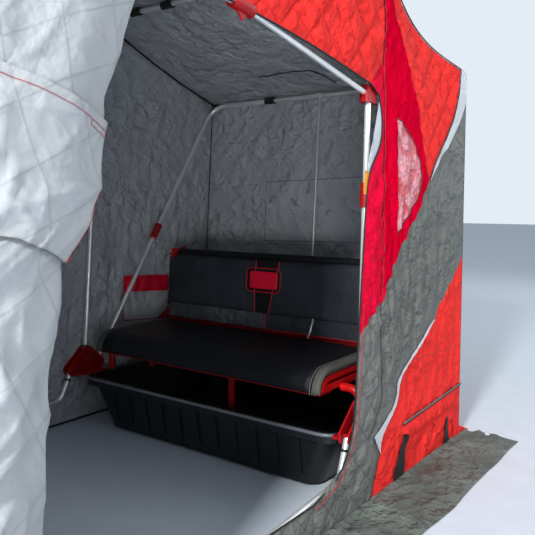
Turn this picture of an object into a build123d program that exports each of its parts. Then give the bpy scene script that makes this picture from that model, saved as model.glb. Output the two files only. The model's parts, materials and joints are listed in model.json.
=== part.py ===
"""Two-person flip-over ice fishing shelter on a moulded sled, set up with its right side door open.

Frame: origin at the centre of the sled's base on the ground, +X to the right as seen from the
front, +Y towards the back wall, +Z up. Millimetres.
"""
import os
from math import atan, cos, radians, sin

from build123d import *

os.makedirs("parts", exist_ok=True)

# Hull outline, seen from the side
hull_width = 1576
hull_depth = 2567
back_base_y = 487
back_eave_y = 562
eave_height = 1620
ridge_y = -270
ridge_height = 1930
front_eave_y = -1720
front_eave_height = 1680
front_base_y = back_base_y - hull_depth
hull_half_width = hull_width / 2
side_lean = 0.0247
fabric = 6
seam_gap = 0.3

# Side door, drawn as the cut in the wall
door_rear_y = -278
door_rear_top = 1405
door_step_y = -333
door_step_top = 1455
door_crest_y = -988
door_crest_top = 1572
door_front_y = -1370
door_front_top = 1625
door_waist_y = -392
door_waist_height = 900
door_knee_y = -445
door_knee_height = 430
door_sill_y = -725
door_sill_height = 125
door_bow_y = -1612
door_bow_height = 930
door_ankle_y = -1690
door_ankle_height = 430
door_toe_y = -1450

# Side windows and roof vent
window_y = -125
window_low = 946
window_high = 1354
window_bulge_y = 83
window_bulge_height = 1150
film = 2
vent_half_width = 160
vent_centre_x = -65
vent_back = 45
vent_front = 205

# Door flap, folded forward beside the open door
flap_thickness = 62
flap_setback = 12
flap_reach = 330
flap_top = 1640
flap_low = 35
flap_radius = 40

# Skirt lying on the ground
skirt_width = 258
skirt_thickness = 6
skirt_tail = 75
end_skirt_half_width = 640

# Sled
sled_half_length = 705
sled_half_depth = 450
rim_height = 240
rim_lip = 33
rim_flange = 28
tub_wall = 5
tub_corner = 60
tub_draft_ends = 100
tub_draft_sides = 34
runner_height = 12
runner_width = 34
runner_pitch = 260
rib_pitch = 102
rib_width = 26
rib_depth = 7
rib_foot = 34
front_rib_count = 11
end_rib_count = 5

# Pole frame
pole_clearance = 10
pole_radius = 12.5
inner_radius = 11
bend_radius = 95
coupler_radius = 19
coupler_length = 84
hub_y = -387
hub_top = (8, 335)
hub_front = (-75, 262)
hub_rear = (75, 275)
hub_boss_radius = 30
hub_plate = 7
hub_channel = 28
hub_rim = 7
hub_recess = 4
hub_pin_radius = 6
hub_foot_length = 150
hub_foot_depth = 40
hub_foot_thickness = 12
back_crossbar_y = back_eave_y - 30
back_crossbar_height = eave_height - 26
mid_crossbar_y = ridge_y - 3
mid_crossbar_height = ridge_height - 30
front_crossbar_y = front_eave_y + 38
front_crossbar_height = front_eave_height - 32
ground_hoop_drop_y = -526
ground_hoop_drop_height = 124
ground_bend_radius = 60
mid_coupler_height = 1080
back_coupler_height = 900
rail_pivot_height = 1424
rail_pivot_length = 68
rail_pivot_depth = 56
rail_pivot_width = 38
rail_socket = 18
rail_radius = 9.5
rail_crest_y = -994
rail_crest_height = 1566
rail_crest_length = 82
rail_crest_gap = 3
gusset_thickness = 6
gusset_drop = 38
grip_radius = 17
grip_length = 62
back_grip_x = 310
mid_grip_x = (268, 462)
support_radius = 8
support_foot_y = 440
clip_width = 34

# Seat
seat_half_length = 612
seat_front_y = -430
seat_back_y = 42
seat_top = 455
seat_pad = 28
seat_nose_height = 372
seat_nose_radius = 78
seat_frame_band = 18
seat_frame_width = 26
seat_frame_bar = 24
rear_rail_size = 22
rear_rail_low = 446
rail_gusset_width = 84
rail_gusset_height = 62
rail_gusset_thickness = 8
seat_leg_width = 28
seat_leg_thickness = 8
front_rail_depth = 44
rail_flange = 7
rail_flange_setback = 10
seat_leg_y = -356
seat_leg_x = 150
seat_bracket_x = -314
seat_bracket_drop = 40
arm_radius = 16
arm_y = (-266, -8)
arm_height = 368
arm_bend = 45
backrest_half_length = 600
backrest_low = 520
backrest_high = 818
backrest_front_y = 56
backrest_lean = 4
backrest_depth = 96
backrest_round = 24
upright_width = 30
upright_thickness = 8
drape_thickness = 6
drape_left_x = 8

# Pocket on the left wall
pocket_front_y = -95
pocket_back_y = 192
pocket_top = 678
pocket_low = 443
pocket_thickness = 6

SIDES = {"left": -1, "right": 1}
lean_angle = atan(side_lean)


def half_width(height):
    """Outer half width of the hull at a height: the side walls lean in."""
    return hull_half_width - side_lean * height


def pole_x(height):
    """Distance of a pole's axis from the middle plane at a height."""
    return half_width(height) - fabric - pole_clearance - pole_radius


def wall_plane(side, depth=0.0):
    """Plane of a side wall, depth inside its outer face: x runs along side * Y, y runs up."""
    normal = Vector(side * cos(lean_angle), 0, sin(lean_angle))
    base = Vector(side * hull_half_width, 0, 0) - normal * depth
    return Plane(origin=base, x_dir=(0, side, 0), z_dir=normal)


def on_wall(side, y, height):
    """A point of a side wall, in its plane's own two coordinates."""
    return (side * y, height / cos(lean_angle))


def save(piece, name):
    """Label a finished piece and write it."""
    piece.label = name
    export_step(piece, f"parts/{name}.step")


# Hull corners in the YZ plane, from the back base over the ridge to the front base
hull_corners = [
    (back_base_y, 0),
    (back_eave_y, eave_height),
    (ridge_y, ridge_height),
    (front_eave_y, front_eave_height),
    (front_base_y, 0),
]


def roof_height(y):
    """Height of the front roof slope's outer face at a y."""
    share = (ridge_y - y) / (ridge_y - front_eave_y)
    return ridge_height + share * (front_eave_height - ridge_height)


def inner_corners():
    """The hull corners moved inwards by the fabric's thickness, each on its mitre."""
    points = [Vector(y, z) for y, z in hull_corners]
    edges = []
    for start, end in zip(points, points[1:]):
        run = (end - start).normalized()
        edges.append((start + Vector(-run.Y, run.X) * fabric, run))
    first, run = edges[0]
    found = [first - run * (first.Y / run.Y)]
    for (start, run), (after, turned) in zip(edges, edges[1:]):
        gap = after - start
        spread = run.X * turned.Y - run.Y * turned.X
        found.append(start + run * ((gap.X * turned.Y - gap.Y * turned.X) / spread))
    last, run = edges[-1]
    found.append(last - run * (last.Y / run.Y))
    return [(point.X, point.Y) for point in found]


hull_lining = inner_corners()


def cross_panel(index):
    """One mitred panel of the hull, from a corner to the next, between the side walls."""
    with BuildPart() as panel:
        with BuildSketch(Plane.YZ):
            with BuildLine():
                Polyline(
                    hull_corners[index],
                    hull_corners[index + 1],
                    hull_lining[index + 1],
                    hull_lining[index],
                    close=True,
                )
            make_face()
        extrude(amount=hull_half_width, both=True)
        for side in SIDES.values():
            split(bisect_by=wall_plane(side, fabric), keep=Keep.BOTTOM)
    return panel.part


def rod(points, radius, bend=None):
    """A round pole along straight runs, bent at its corners."""
    with BuildPart() as pole:
        with BuildLine() as path:
            if bend is None:
                Polyline(*points)
            else:
                FilletPolyline(*points, radius=bend)
        with BuildSketch(Plane(origin=path.line @ 0, z_dir=path.line % 0)):
            Circle(radius)
        sweep()
    return pole.part


def sleeve(centre, direction, length, outer, bore):
    """A round sleeve on a pole, given by its middle and the pole's direction."""
    middle = Vector(*centre)
    along = Vector(*direction).normalized()
    with BuildPart() as ring:
        with BuildSketch(Plane(origin=middle - along * (length / 2), z_dir=along)):
            Circle(outer)
            Circle(bore, mode=Mode.SUBTRACT)
        extrude(amount=length)
    return ring.part


def toward(start, end, distance):
    """The point at a distance from start towards end."""
    start, end = Vector(*start), Vector(*end)
    return start + (end - start).normalized() * distance


def mix(start, end, height):
    """The point at a height on the line from start to end."""
    start, end = Vector(*start), Vector(*end)
    return start + (end - start) * ((height - start.Z) / (end.Z - start.Z))


# Fabric hull: back wall, roof and front wall

with BuildPart() as back_wall:
    add(cross_panel(0))
save(back_wall.part, "back_wall")

# The back slope's plane has x along X and y down the slope, with its origin at the eave
roof_rise = Vector(0, ridge_y - back_eave_y, ridge_height - eave_height).normalized()
roof_plane = Plane(
    origin=(0, back_eave_y, eave_height),
    x_dir=(1, 0, 0),
    z_dir=roof_rise.cross(Vector(1, 0, 0)),
)
vent_place = (vent_centre_x, -(vent_front + vent_back) / 2)
with BuildPart() as roof_back:
    add(cross_panel(1))
    with BuildSketch(roof_plane):
        with Locations(vent_place):
            Rectangle(2 * vent_half_width, vent_front - vent_back)
    extrude(amount=2 * fabric, both=True, mode=Mode.SUBTRACT)
save(roof_back.part, "roof_back")

with BuildPart() as roof_vent:
    with BuildSketch(roof_plane.offset(-(fabric + film) / 2)):
        with Locations(vent_place):
            Rectangle(2 * vent_half_width, vent_front - vent_back)
    extrude(amount=film)
save(roof_vent.part, "roof_vent")

with BuildPart() as roof_front:
    add(cross_panel(2))
save(roof_front.part, "roof_front")

with BuildPart() as front_wall:
    add(cross_panel(3))
save(front_wall.part, "front_wall")

# Fabric hull: side walls, in the panels that meet round the door


def door_rear_edge(side):
    """The door's rear edge, from its top down to the sill."""
    waist = ThreePointArc(
        on_wall(side, door_rear_y, door_rear_top),
        on_wall(side, door_waist_y, door_waist_height),
        on_wall(side, door_knee_y, door_knee_height),
    )
    TangentArc(waist @ 1, on_wall(side, door_sill_y, door_sill_height), tangent=waist % 1)


def door_front_edge(side):
    """The door's front edge, from its top down and round the toe to the sill."""
    bow = ThreePointArc(
        on_wall(side, door_front_y, door_front_top),
        on_wall(side, door_bow_y, door_bow_height),
        on_wall(side, door_ankle_y, door_ankle_height),
    )
    TangentArc(bow @ 1, on_wall(side, door_toe_y, door_sill_height), tangent=bow % 1)


def door_top_edge(side):
    """The door's top edge, along the side rail."""
    Polyline(
        on_wall(side, door_front_y, door_front_top),
        on_wall(side, door_crest_y, door_crest_top),
        on_wall(side, door_step_y, door_step_top),
        on_wall(side, door_rear_y, door_rear_top),
    )


def window_outline(side):
    """A window with a straight front edge and a bowed rear one."""
    low = on_wall(side, window_y, window_low)
    high = on_wall(side, window_y, window_high)
    Line(low, high)
    ThreePointArc(high, on_wall(side, window_bulge_y, window_bulge_height), low)


for name, side in SIDES.items():
    with BuildPart() as side_rear:
        with BuildSketch(wall_plane(side)):
            with BuildLine():
                door_rear_edge(side)
                Polyline(
                    on_wall(side, door_sill_y, door_sill_height),
                    on_wall(side, door_sill_y, 0),
                    on_wall(side, back_base_y, 0),
                    on_wall(side, back_eave_y, eave_height),
                    on_wall(side, ridge_y, ridge_height),
                    on_wall(side, door_rear_y, roof_height(door_rear_y)),
                    on_wall(side, door_rear_y, door_rear_top),
                )
            make_face()
            with BuildLine():
                window_outline(side)
            make_face(mode=Mode.SUBTRACT)
        extrude(amount=-fabric)
    save(side_rear.part, f"side_rear_{name}")

    with BuildPart() as side_window:
        with BuildSketch(wall_plane(side, (fabric + film) / 2)):
            with BuildLine():
                window_outline(side)
            make_face()
        extrude(amount=film)
    save(side_window.part, f"side_window_{name}")

    with BuildPart() as door_header:
        with BuildSketch(wall_plane(side)):
            with BuildLine():
                door_top_edge(side)
                Polyline(
                    on_wall(side, door_rear_y, door_rear_top),
                    on_wall(side, door_rear_y, roof_height(door_rear_y)),
                    on_wall(side, door_front_y, roof_height(door_front_y)),
                    on_wall(side, door_front_y, door_front_top),
                )
            make_face()
        extrude(amount=-fabric)
    save(door_header.part, f"door_header_{name}")

    with BuildPart() as side_front:
        with BuildSketch(wall_plane(side)):
            with BuildLine():
                door_front_edge(side)
                Polyline(
                    on_wall(side, door_front_y, door_front_top),
                    on_wall(side, door_front_y, roof_height(door_front_y)),
                    on_wall(side, front_eave_y, front_eave_height),
                    on_wall(side, front_base_y, 0),
                    on_wall(side, door_toe_y, 0),
                    on_wall(side, door_toe_y, door_sill_height),
                )
            make_face()
        extrude(amount=-fabric)
    save(side_front.part, f"side_front_{name}")

    with BuildPart() as door_sill:
        with BuildSketch(wall_plane(side)):
            with BuildLine():
                Polyline(
                    on_wall(side, door_toe_y, 0),
                    on_wall(side, door_sill_y, 0),
                    on_wall(side, door_sill_y, door_sill_height),
                    on_wall(side, door_toe_y, door_sill_height),
                    close=True,
                )
            make_face()
        extrude(amount=-fabric)
    save(door_sill.part, f"door_sill_{name}")

with BuildPart() as left_door:
    with BuildSketch(wall_plane(SIDES["left"])):
        with BuildLine():
            door_rear_edge(SIDES["left"])
            Line(
                on_wall(SIDES["left"], door_sill_y, door_sill_height),
                on_wall(SIDES["left"], door_toe_y, door_sill_height),
            )
            door_front_edge(SIDES["left"])
            door_top_edge(SIDES["left"])
        make_face()
    extrude(amount=-fabric)
save(left_door.part, "left_door")


def flap_edge(back):
    """A front or rear edge of the folded door: the opening's bow, moved back from it or forward."""
    ThreePointArc(
        on_wall(1, door_front_y + back, flap_top),
        on_wall(1, door_bow_y + back, door_bow_height),
        on_wall(1, door_ankle_y + back, flap_low),
    )


# The open right door, folded once and hanging forward of its opening
with BuildPart() as right_door:
    with BuildSketch(wall_plane(SIDES["right"], -seam_gap)):
        with BuildLine():
            flap_edge(flap_setback)
            flap_edge(-flap_reach)
            for height, y in ((flap_top, door_front_y), (flap_low, door_ankle_y)):
                Line(on_wall(1, y + flap_setback, height), on_wall(1, y - flap_reach, height))
        open_door = make_face()
        fillet(open_door.vertices(), flap_radius)
    extrude(amount=flap_thickness)
save(right_door.part, "right_door")

with BuildPart() as wall_pocket:
    with BuildSketch(wall_plane(SIDES["left"], fabric)):
        with BuildLine():
            Polyline(
                on_wall(-1, pocket_front_y, pocket_low),
                on_wall(-1, pocket_front_y, pocket_top),
                on_wall(-1, pocket_back_y, pocket_top),
                on_wall(-1, pocket_back_y, pocket_low),
                close=True,
            )
        make_face()
    extrude(amount=-pocket_thickness)
save(wall_pocket.part, "wall_pocket")

skirt_length = back_base_y + skirt_tail - front_base_y
with BuildPart() as ground_skirt:
    for side in SIDES.values():
        with BuildSketch():
            with Locations((side * (hull_half_width + skirt_width / 2), front_base_y + skirt_length / 2)):
                Rectangle(skirt_width, skirt_length)
    extrude(amount=skirt_thickness)
    with BuildSketch():
        for seam, way in ((back_base_y, 1), (front_base_y, -1)):
            with Locations((0, seam + way * (seam_gap + skirt_width / 2))):
                Rectangle(2 * end_skirt_half_width, skirt_width)
    extrude(amount=skirt_thickness)
save(ground_skirt.part, "ground_skirt")

# Sled tub: a drafted shell with a turned-down rim, outside ribs and runners

tub_top_half_length = sled_half_length - rim_flange
tub_top_half_depth = sled_half_depth - rim_flange
tub_base_half_length = tub_top_half_length - tub_draft_ends
tub_base_half_depth = tub_top_half_depth - tub_draft_sides


def tub_section(height, inset):
    """The tub's rounded outline at a height, inset from its outer face."""
    share = (height - runner_height) / (rim_height - runner_height)
    with BuildSketch(Plane.XY.offset(height)) as section:
        RectangleRounded(
            2 * (tub_base_half_length + share * tub_draft_ends - inset),
            2 * (tub_base_half_depth + share * tub_draft_sides - inset),
            tub_corner - inset,
        )
    return section.sketch


def rib_section(face, draft):
    """Ribs on two facing drafted walls: face is a wall's distance at the rim, draft its lean."""
    slope = draft / (rim_height - runner_height)
    foot = rib_foot + runner_height
    top = rim_height - tub_wall
    low = face - slope * (rim_height - foot)
    high = face - slope * (rim_height - top)
    with BuildSketch() as section:
        with BuildLine():
            Polyline(
                (low - tub_wall / 2, foot),
                (low, foot),
                (low + slope * rib_depth + rib_depth, foot + rib_depth),
                (high + rib_depth, top),
                (high - tub_wall / 2, top),
                close=True,
            )
        make_face()
        mirror(about=Plane.YZ)
    return section.sketch


with BuildPart() as sled_tub:
    add(tub_section(runner_height, 0))
    add(tub_section(rim_height, 0))
    loft()
    with BuildSketch(Plane.XY.offset(rim_height)):
        RectangleRounded(2 * sled_half_length, 2 * sled_half_depth, tub_corner + rim_flange)
    extrude(amount=-tub_wall)
    with BuildSketch(Plane.XY.offset(rim_height)):
        RectangleRounded(2 * sled_half_length, 2 * sled_half_depth, tub_corner + rim_flange)
        RectangleRounded(
            2 * (sled_half_length - tub_wall),
            2 * (sled_half_depth - tub_wall),
            tub_corner + rim_flange - tub_wall,
            mode=Mode.SUBTRACT,
        )
    extrude(amount=-rim_lip)
    for place in range(front_rib_count):
        rib_x = (place - (front_rib_count - 1) / 2) * rib_pitch
        with BuildSketch(Plane.YZ.offset(rib_x - rib_width / 2)):
            add(rib_section(tub_top_half_depth, tub_draft_sides))
        extrude(amount=rib_width)
    for place in range(end_rib_count):
        rib_y = (place - (end_rib_count - 1) / 2) * rib_pitch
        with BuildSketch(Plane.XZ.offset(rib_y - rib_width / 2)):
            add(rib_section(tub_top_half_length, tub_draft_ends))
        extrude(amount=rib_width)
    with BuildSketch():
        with GridLocations(0, runner_pitch, 1, 3):
            SlotOverall(2 * tub_base_half_length - tub_corner, runner_width)
    extrude(amount=runner_height)
    add(tub_section(runner_height + tub_wall, tub_wall))
    add(tub_section(rim_height, tub_wall))
    loft(mode=Mode.SUBTRACT)
save(sled_tub.part, "sled_tub")

# Hubs: two plates with pins between them, on a foot that stands on the sled's rim

hub_pins = [hub_top, hub_front, hub_rear]


def hub_outline(inset=0.0):
    """The hull of the three pin bosses."""
    with BuildSketch() as outline:
        for y, z in hub_pins:
            with Locations((hub_y + y, z)):
                Circle(hub_boss_radius - inset)
        make_hull()
    return outline.sketch


for name, side in SIDES.items():
    hub_middle = pole_x(hub_top[1])
    hub_inner = hub_middle - hub_channel / 2 - hub_plate
    with BuildPart() as hub:
        with BuildSketch(Plane.YZ.offset(hub_inner)):
            add(hub_outline())
        extrude(amount=hub_plate)
        with BuildSketch(Plane.YZ.offset(hub_middle + hub_channel / 2)):
            add(hub_outline())
        extrude(amount=hub_plate)
        with BuildSketch(Plane.YZ.offset(hub_inner)):
            for y, z in hub_pins:
                with Locations((hub_y + y, z)):
                    Circle(hub_pin_radius)
        extrude(amount=hub_channel + 2 * hub_plate)
        with BuildSketch(Plane.YZ.offset(hub_inner)):
            with Locations((hub_y, hub_front[1] - hub_boss_radius + hub_rim / 2)):
                Rectangle(hub_foot_length / 2, hub_rim)
        extrude(amount=hub_channel + 2 * hub_plate)
        with BuildSketch(Plane.YZ.offset(hub_inner)):
            add(hub_outline(hub_rim))
            for y, z in hub_pins:
                with Locations((hub_y + y, z)):
                    Circle(hub_pin_radius + hub_rim, mode=Mode.SUBTRACT)
            with Locations((hub_y, hub_front[1] + hub_boss_radius)):
                Rectangle(hub_rim, 4 * hub_boss_radius, rotation=28, mode=Mode.SUBTRACT)
                Rectangle(hub_rim, 4 * hub_boss_radius, rotation=-28, mode=Mode.SUBTRACT)
        extrude(amount=hub_recess, mode=Mode.SUBTRACT)
        with BuildSketch(Plane.XY.offset(rim_height)):
            with Locations((hub_inner - hub_foot_depth / 2, hub_y)):
                Rectangle(hub_foot_depth, hub_foot_length)
        extrude(amount=hub_foot_thickness)
        if side < 0:
            mirror(about=Plane.YZ, mode=Mode.REPLACE)
    save(hub.part, f"hub_{name}")

# Pole frame: lower legs, hoops, couplers and rails


def pin_point(side, pin):
    """A hub pin's place, on the hub's middle plane."""
    return (side * pole_x(hub_top[1]), hub_y + pin[0], pin[1])


def corner(side, y, height):
    """A hoop's corner beside the side wall."""
    return (side * pole_x(height), y, height)


def leg_base(side, pin, top, clear):
    """Where a leg stands clear above its hub pin, on the line to its hoop's corner."""
    start, end = Vector(*pin_point(side, pin)), Vector(*top)
    return start + (end - start).normalized() * clear


leg_clear = hub_pin_radius + 2 * seam_gap
mid_low = {}
mid_join = {}
back_low = {}
back_join = {}
for side in SIDES.values():
    mid_corner = corner(side, mid_crossbar_y, mid_crossbar_height)
    back_corner = corner(side, back_crossbar_y, back_crossbar_height)
    mid_low[side] = leg_base(side, hub_top, mid_corner, leg_clear)
    back_low[side] = leg_base(side, hub_rear, back_corner, leg_clear)
    mid_join[side] = mix(mid_low[side], mid_corner, mid_coupler_height)
    back_join[side] = mix(back_low[side], back_corner, back_coupler_height)

with BuildPart() as mid_legs:
    for side in SIDES.values():
        add(rod([mid_low[side], mid_join[side]], pole_radius))
save(mid_legs.part, "mid_legs")

with BuildPart() as back_legs:
    for side in SIDES.values():
        add(rod([back_low[side], back_join[side]], pole_radius))
save(back_legs.part, "back_legs")

with BuildPart() as mid_hoop:
    add(
        rod(
            [
                mid_join[-1],
                corner(-1, mid_crossbar_y, mid_crossbar_height),
                corner(1, mid_crossbar_y, mid_crossbar_height),
                mid_join[1],
            ],
            inner_radius,
            bend_radius,
        )
    )
save(mid_hoop.part, "mid_hoop")

with BuildPart() as back_hoop:
    for side in SIDES.values():
        add(
            rod(
                [
                    back_join[side],
                    corner(side, back_crossbar_y, back_crossbar_height),
                    (side * back_grip_x, back_crossbar_y, back_crossbar_height),
                ],
                pole_radius,
                bend_radius,
            )
        )
    add(
        rod(
            [
                (-back_grip_x, back_crossbar_y, back_crossbar_height),
                (back_grip_x, back_crossbar_y, back_crossbar_height),
            ],
            inner_radius,
        )
    )
save(back_hoop.part, "back_hoop")


def coupler(place, leg, lower, upper):
    """A telescoping joint's sleeve: bored for the lower leg, and above it for the upper."""
    along = (Vector(*place) - Vector(*leg)).normalized()
    half = coupler_length / 2
    with BuildPart() as joint:
        add(sleeve(Vector(*place) - along * (half / 2), along, half, coupler_radius, lower))
        add(sleeve(Vector(*place) + along * (half / 2), along, half, coupler_radius, upper))
    return joint.part


with BuildPart() as mid_couplers:
    for side in SIDES.values():
        add(coupler(mid_join[side], mid_low[side], pole_radius, inner_radius))
save(mid_couplers.part, "mid_couplers")

with BuildPart() as back_couplers:
    for side in SIDES.values():
        add(coupler(back_join[side], back_low[side], pole_radius, pole_radius))
save(back_couplers.part, "back_couplers")

with BuildPart() as crossbar_grips:
    for side in SIDES.values():
        for grip_x in mid_grip_x:
            place = (side * grip_x, mid_crossbar_y, mid_crossbar_height)
            add(sleeve(place, (1, 0, 0), grip_length, grip_radius, inner_radius))
        outer_half = (side * (back_grip_x + grip_length / 4), back_crossbar_y, back_crossbar_height)
        inner_half = (side * (back_grip_x - grip_length / 4), back_crossbar_y, back_crossbar_height)
        add(sleeve(outer_half, (1, 0, 0), grip_length / 2, grip_radius, pole_radius))
        add(sleeve(inner_half, (1, 0, 0), grip_length / 2, grip_radius, inner_radius))
save(crossbar_grips.part, "crossbar_grips")

# Side rails over the doors, their pivots on the middle hoop, their crests and the front hoop

rail_start = {}
rail_end = {}
for side in SIDES.values():
    pivot = mix(mid_low[side], corner(side, mid_crossbar_y, mid_crossbar_height), rail_pivot_height)
    crest = Vector(side * pole_x(rail_crest_height), rail_crest_y, rail_crest_height)
    rail_start[side] = pivot + (crest - pivot).normalized() * rail_socket
    rail_end[side] = crest

with BuildPart() as rail_pivots:
    for side in SIDES.values():
        pivot = mix(mid_low[side], corner(side, mid_crossbar_y, mid_crossbar_height), rail_pivot_height)
        leg_run = (pivot - mid_low[side]).normalized()
        block_plane = Plane(origin=pivot, x_dir=(0, 1, 0), z_dir=leg_run)
        with BuildSketch(block_plane.offset(-rail_pivot_depth / 2)):
            RectangleRounded(rail_pivot_length, rail_pivot_width, rail_pivot_width / 4)
            Circle(inner_radius, mode=Mode.SUBTRACT)
        extrude(amount=rail_pivot_depth)
        add(rod([rail_start[side], rail_end[side]], rail_radius), mode=Mode.SUBTRACT)
save(rail_pivots.part, "rail_pivots")

with BuildPart() as side_rails:
    for side in SIDES.values():
        add(rod([rail_start[side], toward(rail_end[side], rail_start[side], rail_crest_gap)], rail_radius))
save(side_rails.part, "side_rails")

with BuildPart() as front_hoop:
    add(
        rod(
            [
                toward(rail_end[-1], corner(-1, front_crossbar_y, front_crossbar_height), rail_crest_gap),
                corner(-1, front_crossbar_y, front_crossbar_height),
                corner(1, front_crossbar_y, front_crossbar_height),
                toward(rail_end[1], corner(1, front_crossbar_y, front_crossbar_height), rail_crest_gap),
            ],
            rail_radius,
            bend_radius,
        )
    )
save(front_hoop.part, "front_hoop")

with BuildPart() as rail_crests:
    for side in SIDES.values():
        front_corner = corner(side, front_crossbar_y, front_crossbar_height)
        ways = [
            toward(rail_end[side], rail_start[side], rail_crest_length / 2),
            toward(rail_end[side], front_corner, rail_crest_length / 2),
        ]
        for way in ways:
            add(rod([rail_end[side], way], coupler_radius))
        with BuildSketch(Plane.YZ.offset(rail_end[side].X - gusset_thickness / 2)):
            with BuildLine():
                Polyline(
                    (ways[0].Y, ways[0].Z),
                    (rail_crest_y, rail_crest_height - gusset_drop),
                    (ways[1].Y, ways[1].Z),
                    close=True,
                )
            make_face()
        extrude(amount=gusset_thickness)
        for way in (rail_start[side], Vector(*front_corner)):
            bore_end = toward(rail_end[side], way, rail_crest_length)
            add(rod([rail_end[side], bore_end], rail_radius), mode=Mode.SUBTRACT)
save(rail_crests.part, "rail_crests")

# Ground hoop: down from the hubs, sloping forward along the walls and across the front

ground_front_y = front_base_y + fabric + pole_clearance + pole_radius
drop_x = pole_x(ground_hoop_drop_height)
drop = {side: (side * drop_x, ground_hoop_drop_y, ground_hoop_drop_height) for side in SIDES.values()}
with BuildPart() as ground_hoop:
    add(
        rod(
            [
                leg_base(-1, hub_front, drop[-1], leg_clear),
                drop[-1],
                (-pole_x(pole_radius), ground_front_y, pole_radius),
                (pole_x(pole_radius), ground_front_y, pole_radius),
                drop[1],
                leg_base(1, hub_front, drop[1], leg_clear),
            ],
            pole_radius,
            ground_bend_radius,
        )
    )
save(ground_hoop.part, "ground_hoop")

with BuildPart() as support_pole:
    pole_head = Vector(0, back_crossbar_y, back_crossbar_height)
    pole_lean = (back_crossbar_y - support_foot_y) / (back_crossbar_height - rim_height)
    pole_foot = Vector(0, support_foot_y, rim_height + support_radius * pole_lean)
    add(rod([pole_foot, toward(pole_head, pole_foot, inner_radius * 1.3)], support_radius))
    add(sleeve(pole_head, (1, 0, 0), clip_width, grip_radius, inner_radius))
save(support_pole.part, "support_pole")

# Seat: a waterfall cushion on two end frames, legs in the tub and arms to the rim


def seat_band(outer, inner):
    """The seat's bent section between two depths under its top, open at the nose and the back."""
    nose_y = seat_front_y + seat_nose_radius
    nose_z = seat_top - seat_nose_radius
    with BuildSketch() as band:
        with BuildLine():
            over = Line((seat_back_y, seat_top - outer), (nose_y, seat_top - outer))
            TangentArc(over @ 1, (seat_front_y + outer, nose_z), tangent=over % 1)
            under = Line((seat_back_y, seat_top - inner), (nose_y, seat_top - inner))
            TangentArc(under @ 1, (seat_front_y + inner, nose_z), tangent=under % 1)
            Line(over @ 0, under @ 0)
            Polyline(
                (seat_front_y + outer, nose_z),
                (seat_front_y + outer, seat_nose_height),
                (seat_front_y + inner, seat_nose_height),
                (seat_front_y + inner, nose_z),
            )
        make_face()
    return band.sketch


with BuildPart() as seat_cushion:
    with BuildSketch(Plane.YZ):
        add(seat_band(0, seat_pad))
    extrude(amount=seat_half_length, both=True)
save(seat_cushion.part, "seat_cushion")

frame_outer = seat_pad + seam_gap
frame_inner = frame_outer + seat_frame_band
bar_start = seat_front_y + (frame_outer + frame_inner) / 2
with BuildPart() as seat_frame_left:
    with BuildSketch(Plane.YZ.offset(-seat_half_length)):
        add(seat_band(frame_outer, frame_inner))
        with Locations((bar_start, seat_nose_height)):
            Rectangle(seat_back_y - bar_start, seat_frame_bar, align=(Align.MIN, Align.MIN))
        with Locations((seat_back_y, seat_nose_height)):
            Rectangle(
                seat_frame_bar, seat_top - frame_outer - seat_nose_height, align=(Align.MAX, Align.MIN)
            )
    extrude(amount=seat_frame_width)
save(seat_frame_left.part, "seat_frame_left")

with BuildPart() as seat_frame_right:
    add(seat_frame_left.part)
    mirror(about=Plane.YZ, mode=Mode.REPLACE)
save(seat_frame_right.part, "seat_frame_right")

flange_top = seat_nose_height - seam_gap
with BuildPart() as seat_rails:
    with Locations((0, seat_front_y + frame_inner, flange_top)):
        Box(
            2 * (seat_half_length - seat_frame_width - seam_gap),
            front_rail_depth,
            rear_rail_size,
            align=(Align.CENTER, Align.MIN, Align.MIN),
        )
    with Locations((0, seat_front_y + rail_flange_setback, flange_top)):
        Box(
            2 * seat_half_length,
            frame_inner + front_rail_depth - rail_flange_setback,
            rail_flange,
            align=(Align.CENTER, Align.MIN, Align.MAX),
        )
    with Locations((0, seat_back_y + seam_gap, rear_rail_low)):
        Box(
            2 * seat_half_length,
            rear_rail_size,
            rear_rail_size,
            align=(Align.CENTER, Align.MIN, Align.MIN),
        )
    with BuildSketch(Plane.XZ.offset(-seat_back_y - seam_gap)):
        for side in SIDES.values():
            root = side * (seat_half_length - rear_rail_size)
            tip = side * (seat_half_length + rail_gusset_width)
            with BuildLine():
                Polyline(
                    (root, rear_rail_low),
                    (root, rear_rail_low + rail_gusset_height),
                    (side * seat_half_length, rear_rail_low + rail_gusset_height),
                    (tip, rear_rail_low),
                    close=True,
                )
            make_face()
    extrude(amount=-rail_gusset_thickness)
save(seat_rails.part, "seat_rails")

leg_top = flange_top - rail_flange - seam_gap
with BuildPart() as seat_legs:
    for leg_x, leg_low in (
        (seat_leg_x, runner_height + tub_wall),
        (seat_bracket_x, leg_top - seat_bracket_drop),
    ):
        with Locations((leg_x, seat_leg_y, leg_low)):
            Box(
                seat_leg_width,
                seat_leg_thickness,
                leg_top - leg_low,
                align=(Align.CENTER, Align.CENTER, Align.MIN),
            )
save(seat_legs.part, "seat_legs")

with BuildPart() as seat_arms:
    for side in SIDES.values():
        for y in arm_y:
            add(
                rod(
                    [
                        (side * (seat_half_length + seam_gap), y, arm_height),
                        (side * (sled_half_length - arm_radius), y, arm_height),
                        (side * (sled_half_length - arm_radius), y, rim_height),
                    ],
                    arm_radius,
                    arm_bend,
                )
            )
save(seat_arms.part, "seat_arms")

with BuildPart() as backrest:
    with BuildSketch(Plane.YZ.offset(-backrest_half_length)) as side_view:
        with Locations((backrest_front_y, backrest_low)):
            Rectangle(
                backrest_depth,
                backrest_high - backrest_low,
                rotation=-backrest_lean,
                align=(Align.MIN, Align.MIN),
            )
        fillet(side_view.vertices(), backrest_round)
    extrude(amount=2 * backrest_half_length)
save(backrest.part, "backrest")

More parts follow.
